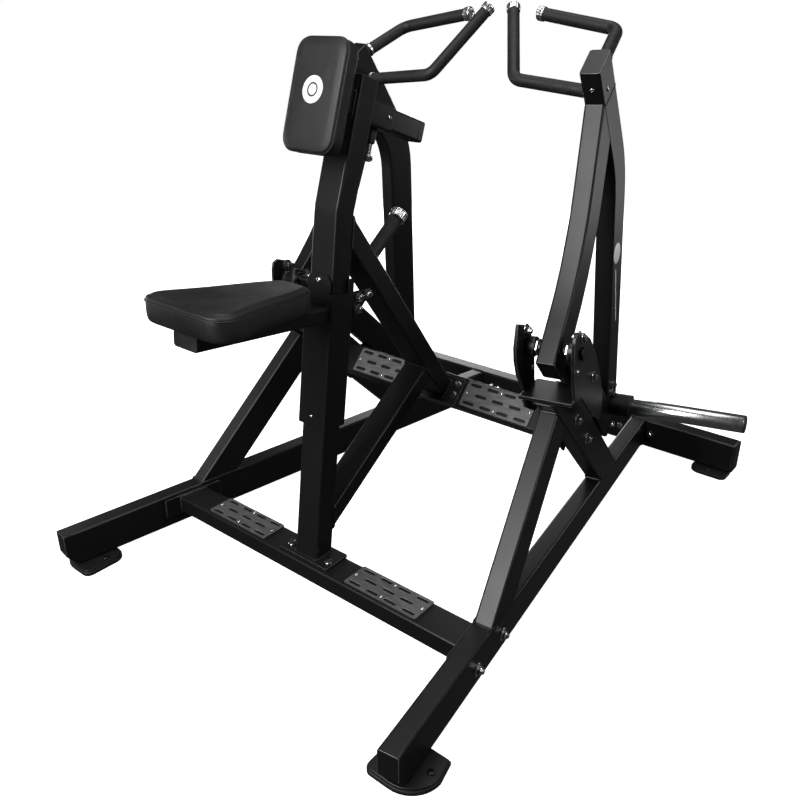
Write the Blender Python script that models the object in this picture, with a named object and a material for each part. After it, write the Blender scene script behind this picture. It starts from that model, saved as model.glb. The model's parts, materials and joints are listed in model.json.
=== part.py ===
"""Plate-loaded seated row machine with two swinging arms, metres, +Z up.

The seat is at the -Y end, the arms swing about two splayed pivots and carry
handles and weight horns.  The origin is on the floor under the middle.
"""
import math

import bmesh
import bpy
from mathutils import Matrix, Vector

# ---- general -------------------------------------------------------------
GAP = 0.0003
WALL = 0.003
CORNER = 0.006
CORNER_STEPS = 3

# ---- base ----------------------------------------------------------------
FOOT_T = 0.018
FOOT_FRONT = (0.500, 0.643, -0.622, -0.748)
FOOT_REAR = (-0.065, 0.065, -0.545, -0.665)
FOOT_TAPER = 0.012
FOOT_INNER_R = 0.020
FOOT_OUTER_R = 0.075
FOOT_BACK_R = 0.034
FOOT_HOLE_OFF = 0.049
FOOT_HOLE_Y = -0.674
FOOT_HOLE_R = 0.006
BEAM_W = 0.050
BEAM_H = 0.100
BEAM_TOP = FOOT_T + BEAM_H
SPLAY = math.radians(8.4)
LEAN = math.radians(2.7)
BEAM_FRONT = Vector((0.5794, -0.7619, BEAM_TOP))
REAR_BEAM_Y = 0.924
REAR_BEAM_D = 0.056
REAR_BEAM_HALF = 0.674
CAP_T = 0.006
CROSS_Y = -0.3815
CROSS_D = 0.090
CROSS_H = 0.050
CROSS_TOP = 0.105
STEP_Y = 0.1904
STEP_Z = 0.3844
STEP_TILT = math.radians(46.0)
STEP_D = 0.090
STEP_T = 0.050
FLANGE_T = 0.006

# ---- tread plates --------------------------------------------------------
TREAD_L = 0.228
TREAD_W = 0.080
TREAD_T = 0.003
TREAD_FRONT_X = 0.26025
TREAD_STEP_X = 0.20525
SLOT_L = 0.038
SLOT_W = 0.009
SLOT_PITCH = 0.057
SLOT_ROWS = 0.0285

# ---- side frames, in the plane of each beam (s rearward, h up, t outward) -
LEG_W = 0.050
LEG_FRONT_D = 0.092
LEG_FRONT_ANGLE = math.radians(45.8)
LEG_FRONT_S = 0.420
LEG_REAR_D = 0.102
LEG_REAR_ANGLE = math.radians(44.0)
LEG_REAR_UPPER = 0.932
SADDLE_H = 0.422
SADDLE_T = 0.008
SADDLE_S0 = 0.768
SADDLE_S1 = 0.890
EAR_T = 0.008
EAR_IN = -0.065
EAR_OUT = 0.062
PIVOT_S = 0.815
PIVOT_H = 0.545
AXLE_R = 0.0125
AXLE_SEGMENTS = 48
HEAD_R = 0.0165
HEAD_T = 0.008
RUN_CLEARANCE = 0.00006
HUB_R = 0.0255
HUB_MID_R = 0.0165
HUB_BOSS_L = 0.016
HUB_END = 0.004

# ---- arms ----------------------------------------------------------------
ARM_W = 0.050
ARM_D = 0.084
ARM_FOOT = (0.7882, 0.4971)
ARM_FOOT_TILT = 0.12
ARM_FOOT_CAP_T = 0.004
ARM_BEND = (0.969, 0.7263)
ARM_BEND_R = 0.85
ARM_TOP_ANGLE = math.radians(15.4)
REAR_D = 0.087
REAR_FOOT = (1.252, 0.224)
REAR_BEND = (1.1947, 0.9107)
REAR_BEND_R = 0.25
REAR_TOP = (1.0135, 1.179)
LINK_D = 0.085
LINK_GAP = 0.0135
LINK_END = 0.790
STOP_ALONG = 0.60
STOP_R = 0.020
HORN_S = 1.255
HORN_H = 0.229
HORN_LIFT = math.radians(1.2)
HORN_R = 0.025
HORN_BORE_R = 0.0215
HORN_END = 0.394
COLLAR_R = 0.033
COLLAR_END = 0.084
HANDLE_R = 0.016
HANDLE_SEGMENTS = 12
UPPER_BAR = ((1.0841, 1.1856), (0.334, 0.422, 1.360), (0.1114, 0.4303, 1.395))
LOWER_BAR = ((1.0724, 1.1131), (0.132, 0.281, 1.245), (0.0383, 0.4125, 1.4094))
LOWER_BAR_IN = 0.0507
HANDLE_BEND = 0.035

# ---- centre frame --------------------------------------------------------
POST_W = 0.076
POST_D = 0.0595
POST_FOOT = (-0.3735, CROSS_TOP)
POST_BEND = (-0.2510, 0.9870)
POST_TOP = (-0.1573, 1.2670)
POST_BEND_R = 0.10
BRACE_D = 0.054
BRACE_TOP = (-0.2409, 0.950)
BRACE_FOOT = (0.1668, 0.3971)
STRUT_D = 0.048
STRUT_A = (-0.2000, 0.2963)
STRUT_ANGLE = math.radians(34.3)
GRIP_R = 0.0175
GRIP_A = (-0.1135, 0.8625)
GRIP_B = (-0.0290, 0.9259)

# ---- chest support -------------------------------------------------------
SLIDER_P = (-0.120, 1.186)
SLIDER_SLOPE = 0.334
SLIDER_W = 0.050
SLEEVE_W = 0.060
SLEEVE_WALL = 0.0045
SLEEVE_Y0 = -0.207
SLEEVE_Y1 = -0.073
SLIDER_Y1 = 0.031
SLIDER_CAP_Y1 = 0.055
PAD_Y = -0.304
PAD_DROP = 0.007
PAD_W = 0.150
PAD_H = 0.240
PAD_T = 0.045
PAD_R = 0.030
PAD_PLATE_T = 0.006
PIN_Y = -0.105
PIN_BOSS_R = 0.0125
PIN_BOSS_L = 0.034
PIN_R = 0.006
PIN_BORE_R = 0.00606
PIN_TRAVEL = 0.012

# ---- seat ----------------------------------------------------------------
CARRIAGE_W = 0.092
CARRIAGE_D = 0.0755
CARRIAGE_WALL = 0.004
CARRIAGE_Z0 = 0.470
CARRIAGE_Z1 = 0.800
CARRIAGE_LIP = 0.843
SEAT_TUBE_W = 0.075
SEAT_TUBE_D = 0.037
SEAT_TUBE_END = (-0.692, 0.798)
SEAT_TUBE_SLOPE = -0.105
SEAT_TOP = (-0.711, 0.877)
SEAT_TOP_SLOPE = -0.102
SEAT_PIN_Z = 0.812
PIN_PLATE_TOP = 0.832
PIN_PLATE_HALF = 0.020
TAB_TOP = 0.835


# ---- materials -----------------------------------------------------------
def material(name, colour, roughness, metallic):
    """Principled material with one base colour."""
    found = bpy.data.materials.get(name) or bpy.data.materials.new(name)
    found.use_nodes = True
    shader = found.node_tree.nodes["Principled BSDF"]
    shader.inputs["Base Color"].default_value = (*colour, 1.0)
    shader.inputs["Roughness"].default_value = roughness
    shader.inputs["Metallic"].default_value = metallic
    found.diffuse_color = (*colour, 1.0)
    return found


def black_paint():
    """Black powder coat of the frame."""
    return material("black_paint", (0.018, 0.019, 0.020), 0.45, 0.0)


def grey_paint():
    """Silver-grey powder coat of the arm tubes."""
    return material("grey_paint", (0.045, 0.046, 0.048), 0.42, 0.0)


def bright_steel():
    """Chromed steel."""
    return material("bright_steel", (0.75, 0.76, 0.77), 0.12, 1.0)


def dark_steel():
    """Blackened steel of the pivot shafts."""
    return material("dark_steel", (0.06, 0.06, 0.062), 0.4, 1.0)


def tread_steel():
    """Bare satin plate."""
    return material("tread_steel", (0.42, 0.43, 0.44), 0.38, 1.0)


def black_rubber():
    """Rubber of the feet, stops and grips."""
    return material("black_rubber", (0.012, 0.012, 0.013), 0.75, 0.0)


def black_plastic():
    """Moulded plastic of caps and bosses."""
    return material("black_plastic", (0.015, 0.015, 0.016), 0.5, 0.0)


def vinyl():
    """Padded cover of seat and chest pad."""
    return material("vinyl", (0.020, 0.020, 0.022), 0.55, 0.0)


# ---- frames --------------------------------------------------------------
ALONG = Vector((-math.sin(SPLAY), math.cos(SPLAY), 0.0))
OUTWARD = Vector((math.cos(LEAN) * math.cos(SPLAY), math.cos(LEAN) * math.sin(SPLAY), math.sin(LEAN)))
UPWARD = OUTWARD.cross(ALONG)
X_AXIS = Vector((1.0, 0.0, 0.0))
Z_AXIS = Vector((0.0, 0.0, 1.0))


def side(s, h, t=0.0):
    """Point of the right side frame."""
    return BEAM_FRONT + ALONG * s + UPWARD * h + OUTWARD * t


def side_dir(s, h):
    """Unit direction in the side plane."""
    return (ALONG * s + UPWARD * h).normalized()


def mid(point):
    """Point of the centre plane from (y, z)."""
    return Vector((0.0, point[0], point[1]))


# ---- mesh building -------------------------------------------------------
def rounded_rect(w, d, radius, steps=CORNER_STEPS):
    """Counter-clockwise outline of a rounded rectangle."""
    points = []
    corners = ((1, 1, 0.0), (-1, 1, 90.0), (-1, -1, 180.0), (1, -1, 270.0))
    for sx, sy, start in corners:
        cx = sx * (w / 2 - radius)
        cy = sy * (d / 2 - radius)
        for step in range(steps + 1):
            angle = math.radians(start + 90.0 * step / steps)
            points.append((cx + radius * math.cos(angle), cy + radius * math.sin(angle)))
    return points


def ring_on_plane(outline, centre, axis, across, deep, plane_point, plane_normal):
    """Outline swept along axis onto a plane."""
    ring = []
    for a, b in outline:
        start = centre + across * a + deep * b
        shift = (plane_point - start).dot(plane_normal) / axis.dot(plane_normal)
        ring.append(start + axis * shift)
    return ring


def add_rings(bm, rings):
    """Skin a list of equal rings and return their vertices."""
    loops = [[bm.verts.new(p) for p in ring] for ring in rings]
    for first, second in zip(loops, loops[1:]):
        count = len(first)
        for i in range(count):
            j = (i + 1) % count
            bm.faces.new((first[i], first[j], second[j], second[i]))
    return loops


def join_loops(bm, first, second):
    """Flat ring of faces between two loops."""
    count = len(first)
    for i in range(count):
        j = (i + 1) % count
        bm.faces.new((first[i], first[j], second[j], second[i]))


def shell(outer, inner=None, open_start=True, open_end=True):
    """Closed body: outer skin, and an inner skin when the tube is hollow."""
    bm = bmesh.new()
    out = add_rings(bm, outer)
    if inner is None:
        bm.faces.new(out[0])
        bm.faces.new(out[-1])
        return bm
    core = add_rings(bm, inner)
    for is_open, at in ((open_start, 0), (open_end, -1)):
        if is_open:
            join_loops(bm, out[at], core[at])
        else:
            bm.faces.new(out[at])
            bm.faces.new(core[at])
    return bm


def fillet(points, radius, steps):
    """Polyline with its inner corners replaced by arcs."""
    path = [points[0]]
    for before, corner, after in zip(points, points[1:], points[2:]):
        inward = (corner - before).normalized()
        outward = (after - corner).normalized()
        turn = inward.angle(outward)
        length = radius * math.tan(turn / 2)
        start = corner - inward * length
        centre = corner + (outward - inward).normalized() * (radius / math.cos(turn / 2))
        axis = inward.cross(outward).normalized()
        for step in range(steps + 1):
            spin = Matrix.Rotation(turn * step / steps, 3, axis)
            path.append(centre + spin @ (start - centre))
    path.append(points[-1])
    return path


def tube(path, across, w, d, wall=WALL, start=None, end=None, closed_end=None, flange=None):
    """Hollow rectangular tube along a flat path; start and end are plane normals."""
    steps = [(b - a).normalized() for a, b in zip(path, path[1:])]
    planes = []
    for i in range(len(path)):
        before = steps[max(i - 1, 0)]
        after = steps[min(i, len(steps) - 1)]
        planes.append((before + after).normalized())
    if start is not None:
        planes[0] = start
    if end is not None:
        planes[-1] = end

    def rings(outline):
        result = []
        for i, point in enumerate(path):
            axis = steps[min(i, len(steps) - 1)]
            result.append(ring_on_plane(outline, point, axis, across, axis.cross(across), point, planes[i]))
        return result

    outer = rings(rounded_rect(w, d, CORNER))
    inner = rings(rounded_rect(w - 2 * wall, d - 2 * wall, CORNER - wall + 0.001))
    if flange is not None:
        axis = steps[0]
        wide = rounded_rect(flange[0], flange[1], CORNER)
        deep = axis.cross(across)
        normal = planes[0] if planes[0].dot(axis) > 0 else -planes[0]
        top = path[0] + normal * flange[2]
        lower = ring_on_plane(wide, path[0], axis, across, deep, path[0], normal)
        upper = [p + normal * flange[2] for p in lower]
        neck = ring_on_plane(rounded_rect(w, d, CORNER), path[0], axis, across, deep, top, normal)
        outer = [lower, upper, neck] + outer[1:]
    if closed_end is not None:
        axis = steps[-1]
        inner[-1] = [p - axis * closed_end for p in inner[-1]]
    return shell(outer, inner, True, closed_end is None)


def prism(outline, place, low, high, holes=()):
    """Flat plate: outline in 2-D, placed by place(a, b, height), with through holes."""
    bm = bmesh.new()
    edges = []
    for loop in (outline, *holes):
        verts = [bm.verts.new(place(a, b, low)) for a, b in loop]
        for i, vert in enumerate(verts):
            edges.append(bm.edges.new((vert, verts[(i + 1) % len(verts)])))
    bmesh.ops.triangle_fill(bm, use_beauty=True, use_dissolve=False, edges=edges)
    faces = list(bm.faces)
    lift = place(0.0, 0.0, high) - place(0.0, 0.0, low)
    grown = bmesh.ops.extrude_face_region(bm, geom=faces)
    moved = [item for item in grown["geom"] if isinstance(item, bmesh.types.BMVert)]
    bmesh.ops.translate(bm, verts=moved, vec=lift)
    return bm


def circle(cx, cy, radius, count=16):
    """Closed 2-D circle."""
    points = []
    for i in range(count):
        angle = 2 * math.pi * (i + 0.5) / count
        points.append((cx + radius * math.cos(angle), cy + radius * math.sin(angle)))
    return points


def slot(cx, cy, length, width, steps=3):
    """Closed 2-D slot with round ends, long way along the first axis."""
    radius = width / 2
    points = []
    for sign, start in ((1, -90.0), (-1, 90.0)):
        for step in range(steps + 1):
            angle = math.radians(start + 180.0 * step / steps)
            points.append((cx + sign * (length / 2 - radius) + radius * math.cos(angle),
                           cy + radius * math.sin(angle)))
    return points


def square_to(axis):
    """Two unit vectors square to an axis."""
    helper = Z_AXIS if abs(axis.z) < 0.9 else X_AXIS
    first = axis.cross(helper).normalized()
    return first, axis.cross(first)


def turned(start, axis, profile, count=24, bore=None):
    """Body of revolution; profile is (distance, radius); bore makes a through hole."""
    axis = axis.normalized()
    a, b = square_to(axis)

    def rings(pairs):
        result = []
        for along, radius in pairs:
            ring = []
            for i in range(count):
                angle = 2 * math.pi * i / count
                ring.append(start + axis * along + a * (radius * math.cos(angle)) + b * (radius * math.sin(angle)))
            result.append(ring)
        return result

    if bore is None:
        return shell(rings(profile))
    return shell(rings(profile), rings([(profile[0][0], bore), (profile[-1][0], bore)]))


def pipe(path, radius, count):
    """Round bar along a bent path."""
    steps = [(b - a).normalized() for a, b in zip(path, path[1:])]
    a, b = square_to(steps[0])
    rings = []
    for i, point in enumerate(path):
        before = steps[max(i - 1, 0)]
        after = steps[min(i, len(steps) - 1)]
        spin = before.rotation_difference(after)
        half = spin.copy()
        half.angle = spin.angle / 2 if spin.angle > 1e-6 else 0.0
        a_here = half @ a if spin.angle > 1e-6 else a
        b_here = half @ b if spin.angle > 1e-6 else b
        ring = []
        for k in range(count):
            angle = 2 * math.pi * k / count
            ring.append(point + a_here * (radius * math.cos(angle)) + b_here * (radius * math.sin(angle)))
        rings.append(ring)
        if spin.angle > 1e-6:
            a = spin @ a
            b = spin @ b
    return shell(rings)


def slab(outline, place, levels):
    """Cushion block; levels are (height fraction, inset) from bottom to top."""
    count = len(outline)
    cx = sum(p[0] for p in outline) / count
    cy = sum(p[1] for p in outline) / count
    rings = []
    for level, inset in levels:
        ring = []
        for x, y in outline:
            reach = math.hypot(x - cx, y - cy)
            keep = (reach - inset) / reach
            ring.append(place(cx + (x - cx) * keep, cy + (y - cy) * keep, level))
        rings.append(ring)
    return shell(rings)


def shade(mesh):
    """Smooth rounds, crisp corners."""
    mesh.shade_smooth()
    mesh.set_sharp_from_angle(angle=math.radians(32.0))


def finish(name, bm, paint, mirror=False, origin=None):
    """Turn a bmesh into a named object, mirrored in X for the left side."""
    if mirror:
        for vert in bm.verts:
            vert.co.x = -vert.co.x
    shift = Vector(origin) if origin is not None else Vector((0.0, 0.0, 0.0))
    if mirror and origin is not None:
        shift.x = -shift.x
    for vert in bm.verts:
        vert.co -= shift
    bmesh.ops.triangulate(bm, faces=[f for f in bm.faces if len(f.verts) > 4])
    bmesh.ops.recalc_face_normals(bm, faces=list(bm.faces))
    mesh = bpy.data.meshes.new(name)
    bm.to_mesh(mesh)
    bm.free()
    mesh.materials.append(paint)
    shade(mesh)
    made = bpy.data.objects.new(name, mesh)
    made.location = shift
    bpy.context.scene.collection.objects.link(made)
    return made


def combine(target, other, operation):
    """Apply an exact boolean and drop the other body."""
    bpy.context.view_layer.update()
    modifier = target.modifiers.new("cut", "BOOLEAN")
    modifier.operation = operation
    modifier.solver = "EXACT"
    modifier.object = other
    bpy.context.view_layer.update()
    evaluated = target.evaluated_get(bpy.context.evaluated_depsgraph_get())
    result = bpy.data.meshes.new_from_object(evaluated)
    paint = target.data.materials[0]
    target.modifiers.clear()
    old = target.data
    target.data = result
    result.name = old.name
    bpy.data.meshes.remove(old)
    target.data.materials.clear()
    target.data.materials.append(paint)
    spare = other.data
    bpy.data.objects.remove(other)
    bpy.data.meshes.remove(spare)
    clean = bmesh.new()
    clean.from_mesh(target.data)
    bmesh.ops.remove_doubles(clean, verts=clean.verts, dist=0.00001)
    bmesh.ops.triangulate(clean, faces=[f for f in clean.faces if len(f.verts) > 4])
    bmesh.ops.recalc_face_normals(clean, faces=list(clean.faces))
    clean.to_mesh(target.data)
    clean.free()
    shade(target.data)
    return target


# ---- base parts ----------------------------------------------------------
def side_beam(name, mirror):
    """Floor beam with a cut-back toe; open where it meets the rear beam."""
    rear = Vector((0.0, REAR_BEAM_Y - REAR_BEAM_D / 2 - GAP, 0.0))
    back = Vector((0.0, 1.0, 0.0))
    across = ALONG.cross(Z_AXIS)
    centre = BEAM_FRONT - Z_AXIS * (BEAM_H / 2)
    full = rounded_rect(BEAM_W, BEAM_H, CORNER)
    core = rounded_rect(BEAM_W - 2 * WALL, BEAM_H - 2 * WALL, CORNER - WALL + 0.001)
    toe = 0.034
    outer = []
    for along, lift in ((0.0, 1.0), (0.014, 0.45), (0.032, 0.0)):
        ring = []
        for a, b in full:
            low = max(-b / BEAM_H + 0.5, 0.0)
            ring.append(centre + ALONG * along + across * a + Z_AXIS * (b + toe * lift * low))
        outer.append(ring)
    outer.append(ring_on_plane(full, centre, ALONG, across, Z_AXIS, rear, back))
    inner = [ring_on_plane(core, centre, ALONG, across, Z_AXIS, centre + ALONG * 0.04, ALONG),
             ring_on_plane(core, centre, ALONG, across, Z_AXIS, rear, back)]
    return finish(name, shell(outer, inner, False, True), black_paint(), mirror)


def foot_outline(low, high, back, front, radius, steps=6):
    """Floor pad in plan, rounded at three corners; front is the smaller number."""
    points = [(high - FOOT_TAPER, back)]
    for a, b, start, bend in ((low + FOOT_BACK_R, back - FOOT_BACK_R, 90.0, FOOT_BACK_R),
                              (low + FOOT_INNER_R, front + FOOT_INNER_R, 180.0, FOOT_INNER_R),
                              (high - radius, front + radius, 270.0, radius)):
        for step in range(steps + 1):
            angle = math.radians(start + 90.0 * step / steps)
            points.append((a + bend * math.cos(angle), b + bend * math.sin(angle)))
    return points


def foot_front(name, mirror):
    """Front floor pad under the beam toe."""
    low, high, back, front = FOOT_FRONT
    holes = [circle((low + high) / 2 + sign * FOOT_HOLE_OFF, FOOT_HOLE_Y, FOOT_HOLE_R, 12) for sign in (-1, 1)]
    bm = prism(foot_outline(low, high, back, front, FOOT_OUTER_R),
               lambda a, b, z: Vector((a, b, z)), 0.0, FOOT_T - GAP, holes)
    return finish(name, bm, black_rubber(), mirror)


def foot_rear(name, mirror):
    """Rear floor pad under the end of the rear beam."""
    low, high, back, front = FOOT_REAR
    outline = foot_outline(low, high, back, front, FOOT_OUTER_R)
    holes = [circle(sign * FOOT_HOLE_OFF, -0.605, FOOT_HOLE_R, 12) for sign in (-1, 1)]
    bm = prism(outline, lambda a, b, z: Vector((-b, REAR_BEAM_Y + a, z)), 0.0, FOOT_T - GAP, holes)
    return finish(name, bm, black_rubber(), mirror)


def rear_beam():
    """Beam across the back, open at both ends."""
    half = REAR_BEAM_HALF - CAP_T
    path = [Vector((x, REAR_BEAM_Y, BEAM_TOP - BEAM_H / 2)) for x in (-half, half)]
    bm = tube(path, Vector((0.0, 1.0, 0.0)), REAR_BEAM_D, BEAM_H)
    return finish("rear_beam", bm, black_paint())


def rear_beam_cap(name, mirror):
    """Plastic plug closing an end of the rear beam."""
    outline = rounded_rect(REAR_BEAM_D, BEAM_H, CORNER)
    small = rounded_rect(REAR_BEAM_D - 0.006, BEAM_H - 0.006, CORNER - 0.002)
    centre = Vector((0.0, REAR_BEAM_Y, BEAM_TOP - BEAM_H / 2))
    rings = []
    x0 = REAR_BEAM_HALF - CAP_T + GAP
    for x, loop in ((x0, outline), (REAR_BEAM_HALF - 0.002, outline), (REAR_BEAM_HALF, small)):
        rings.append([centre + Vector((x, a, b)) for a, b in loop])
    return finish(name, shell(rings), black_plastic(), mirror)


def flanged_cross(name, centre, deep, w, d, inner_t, flange_w, flange_d):
    """Cross tube between the side frames, a flange plate at each end."""
    flange = rounded_rect(flange_w, flange_d, CORNER)
    outline = rounded_rect(w, d, CORNER)
    core = rounded_rect(w - 2 * WALL, d - 2 * WALL, CORNER - WALL + 0.001)
    lift = X_AXIS.cross(deep)

    def at(loop, t, sign):
        plane = side(0.5, 0.2, t)
        normal = OUTWARD.copy()
        plane.x *= sign
        normal.x *= sign
        return ring_on_plane(loop, centre, X_AXIS, deep, lift, plane, normal)

    back = inner_t - FLANGE_T
    outer = [at(flange, inner_t, -1), at(flange, back, -1), at(outline, back, -1),
             at(outline, back, 1), at(flange, back, 1), at(flange, inner_t, 1)]
    inner = [at(core, inner_t, -1), at(core, inner_t, 1)]
    return finish(name, shell(outer, inner), black_paint())


def front_cross_beam():
    """Flat cross tube under the post and the front tread plates."""
    plane_normal = Vector((math.cos(SPLAY), math.sin(SPLAY), 0.0))
    centre = Vector((0.0, CROSS_Y, CROSS_TOP - CROSS_H / 2))
    deep = Vector((0.0, 1.0, 0.0))
    flange = rounded_rect(0.182, 0.058, CORNER)
    outline = rounded_rect(CROSS_D, CROSS_H, CORNER)
    core = rounded_rect(CROSS_D - 2 * WALL, CROSS_H - 2 * WALL, CORNER - WALL + 0.001)

    def at(loop, back, sign):
        plane = BEAM_FRONT - plane_normal * (BEAM_W / 2 + GAP + back)
        normal = plane_normal.copy()
        plane.x *= sign
        normal.x *= sign
        return ring_on_plane(loop, centre, X_AXIS, deep, Z_AXIS, plane, normal)

    outer = [at(flange, 0.0, -1), at(flange, FLANGE_T, -1), at(outline, FLANGE_T, -1),
             at(outline, FLANGE_T, 1), at(flange, FLANGE_T, 1), at(flange, 0.0, 1)]
    inner = [at(core, 0.0, -1), at(core, 0.0, 1)]
    return finish("front_cross_beam", shell(outer, inner), black_paint())


def foot_cross_beam():
    """Raised tilted cross tube that carries the rear tread plates."""
    deep = Vector((0.0, math.cos(STEP_TILT), math.sin(STEP_TILT)))
    return flanged_cross("foot_cross_beam", Vector((0.0, STEP_Y, STEP_Z)), deep,
                         STEP_D, STEP_T, -LEG_W / 2 - GAP, 0.090, 0.165)


def tread_plate(name, centre, deep, lift, mirror):
    """Foot plate with three staggered rows of slots."""
    outline = rounded_rect(TREAD_L, TREAD_W, 0.004, 1)
    holes = []
    for row, count in ((-1, 4), (0, 3), (1, 4)):
        for i in range(count):
            holes.append(slot((i - (count - 1) / 2) * SLOT_PITCH, row * SLOT_ROWS, SLOT_L, SLOT_W))
    bm = prism(outline, lambda a, b, z: centre + X_AXIS * a + deep * b + lift * z, 0.0, TREAD_T, holes)
    return finish(name, bm, tread_steel(), mirror)


def tread_plates():
    """Pair on the flat cross beam and pair on the raised one."""
    flat = Vector((TREAD_FRONT_X, CROSS_Y + 0.0045, CROSS_TOP + GAP))
    deep = Vector((0.0, math.cos(STEP_TILT), math.sin(STEP_TILT)))
    normal = X_AXIS.cross(deep)
    raised = Vector((TREAD_STEP_X, STEP_Y, STEP_Z)) + normal * (STEP_T / 2 + GAP)
    for tag, mirror in (("right", False), ("left", True)):
        tread_plate("tread_plate_front_" + tag, flat, Vector((0.0, 1.0, 0.0)), Z_AXIS, mirror)
        tread_plate("tread_plate_rear_" + tag, raised, deep, normal, mirror)


# ---- side frames ---------------------------------------------------------
LEG_REAR_DIR = (math.cos(LEG_REAR_ANGLE), -math.sin(LEG_REAR_ANGLE))
LEG_REAR_NORMAL = (math.sin(LEG_REAR_ANGLE), math.cos(LEG_REAR_ANGLE))


def rear_leg_point(along, up):
    """Side-frame (s, h) from a distance along the rear leg and off its reference line."""
    return (LEG_REAR_DIR[0] * along + LEG_REAR_NORMAL[0] * up,
            LEG_REAR_DIR[1] * along + LEG_REAR_NORMAL[1] * up)


def leg_front(name, mirror):
    """Front leg from the floor beam up to the rear leg."""
    direction = side_dir(math.cos(LEG_FRONT_ANGLE), math.sin(LEG_FRONT_ANGLE))
    offset = LEG_FRONT_D / 2
    foot = side(LEG_FRONT_S + offset * math.sin(LEG_FRONT_ANGLE), -offset * math.cos(LEG_FRONT_ANGLE))
    beam_top = Vector((0.0, 0.0, BEAM_TOP + GAP))
    start = foot + direction * ((beam_top - foot).dot(Z_AXIS) / direction.z)
    normal = side_dir(*LEG_REAR_NORMAL)
    lower_face = side(*rear_leg_point(0.0, LEG_REAR_UPPER - LEG_REAR_D - GAP))
    end = start + direction * ((lower_face - start).dot(normal) / direction.dot(normal))
    bm = tube([start, end], OUTWARD, LEG_W, LEG_FRONT_D, start=Z_AXIS, end=normal)
    return finish(name, bm, black_paint(), mirror)


def leg_rear(name, mirror):
    """Rear leg from the floor beam up to the saddle plate."""
    direction = side_dir(-LEG_REAR_DIR[0], -LEG_REAR_DIR[1])
    centre = side(*rear_leg_point(0.5, LEG_REAR_UPPER - LEG_REAR_D / 2))
    start = centre + direction * ((BEAM_TOP + GAP - centre.z) / direction.z)
    top = side(0.0, SADDLE_H - GAP)
    end = centre + direction * ((top - centre).dot(UPWARD) / direction.dot(UPWARD))
    bm = tube([start, end], OUTWARD, LEG_W, LEG_REAR_D, start=Z_AXIS, end=UPWARD)
    return finish(name, bm, black_paint(), mirror)


def pivot_bracket(name, mirror):
    """Saddle plate with two ears, drilled for the axle."""
    inner = [(0.751, 0.619), (0.785, 0.608), (0.819, 0.590), (0.845, 0.550), (0.857, 0.505), (0.862, 0.440),
             (0.884, 0.405), (0.884, 0.346), (0.862, 0.350), (0.812, 0.380), (0.789, 0.441), (0.756, 0.488),
             (0.741, 0.530), (0.738, 0.562)]
    outer = [(0.765, 0.580), (0.769, 0.598), (0.784, 0.606), (0.806, 0.600), (0.829, 0.591), (0.875, 0.564),
             (0.920, 0.518), (0.966, 0.447), (0.997, 0.381), (1.003, 0.334), (0.987, 0.300), (0.930, 0.335),
             (0.875, 0.385), (0.838, 0.420), (0.790, 0.430), (0.772, 0.492), (0.765, 0.547)]
    body = finish(name, prism([(SADDLE_S0, EAR_IN - EAR_T / 2), (SADDLE_S1, EAR_IN - EAR_T / 2),
                               (SADDLE_S1, EAR_OUT + EAR_T / 2), (SADDLE_S0, EAR_OUT + EAR_T / 2)],
                              lambda a, b, z: side(a, z, b), SADDLE_H, SADDLE_H + SADDLE_T),
                  black_paint(), mirror)
    for outline, low in ((inner, EAR_IN - EAR_T), (outer, EAR_OUT)):
        ear = finish("ear", prism(outline, lambda a, b, z: side(a, b, z), low, low + EAR_T,
                                  [circle(PIVOT_S, PIVOT_H, AXLE_R + GAP, 24)]), black_paint(), mirror)
        combine(body, ear, "UNION")
    return body


def pivot_axle(name, mirror):
    """Shaft through both ears with a head and a nut."""
    low = EAR_IN - EAR_T - GAP
    high = EAR_OUT + EAR_T + GAP
    profile = [(low - HEAD_T, HEAD_R), (low, HEAD_R), (low, AXLE_R), (high, AXLE_R), (high, HEAD_R),
               (high + HEAD_T, HEAD_R)]
    bm = turned(side(PIVOT_S, PIVOT_H), OUTWARD, profile, AXLE_SEGMENTS)
    return finish(name, bm, dark_steel(), mirror)


def bump_stop(name, mirror):
    """Rubber buffer on the rear leg, under the arm link."""
    base = side(*rear_leg_point(STOP_ALONG, LEG_REAR_UPPER + GAP))
    depth = LINK_GAP - 2 * GAP
    bm = turned(base, side_dir(*LEG_REAR_NORMAL),
                [(0.0, STOP_R), (depth * 0.6, STOP_R), (depth, STOP_R * 0.85)], 20)
    return finish(name, bm, black_rubber(), mirror)


# ---- arms ----------------------------------------------------------------
def pivot_point():
    """Pivot of the right arm."""
    return side(PIVOT_S, PIVOT_H)


def arm_front_path():
    """Centre line of the front arm tube, to just past the rear tube."""
    top = (ARM_BEND[0] + 0.5 * math.sin(ARM_TOP_ANGLE), ARM_BEND[1] + 0.5 * math.cos(ARM_TOP_ANGLE))
    return fillet([side(*ARM_FOOT), side(*ARM_BEND), side(*top)], ARM_BEND_R, 5)


def rear_top_dir():
    """Direction of the rear tube's upper part, upward."""
    return side_dir(REAR_TOP[0] - REAR_BEND[0], REAR_TOP[1] - REAR_BEND[1])


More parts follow.
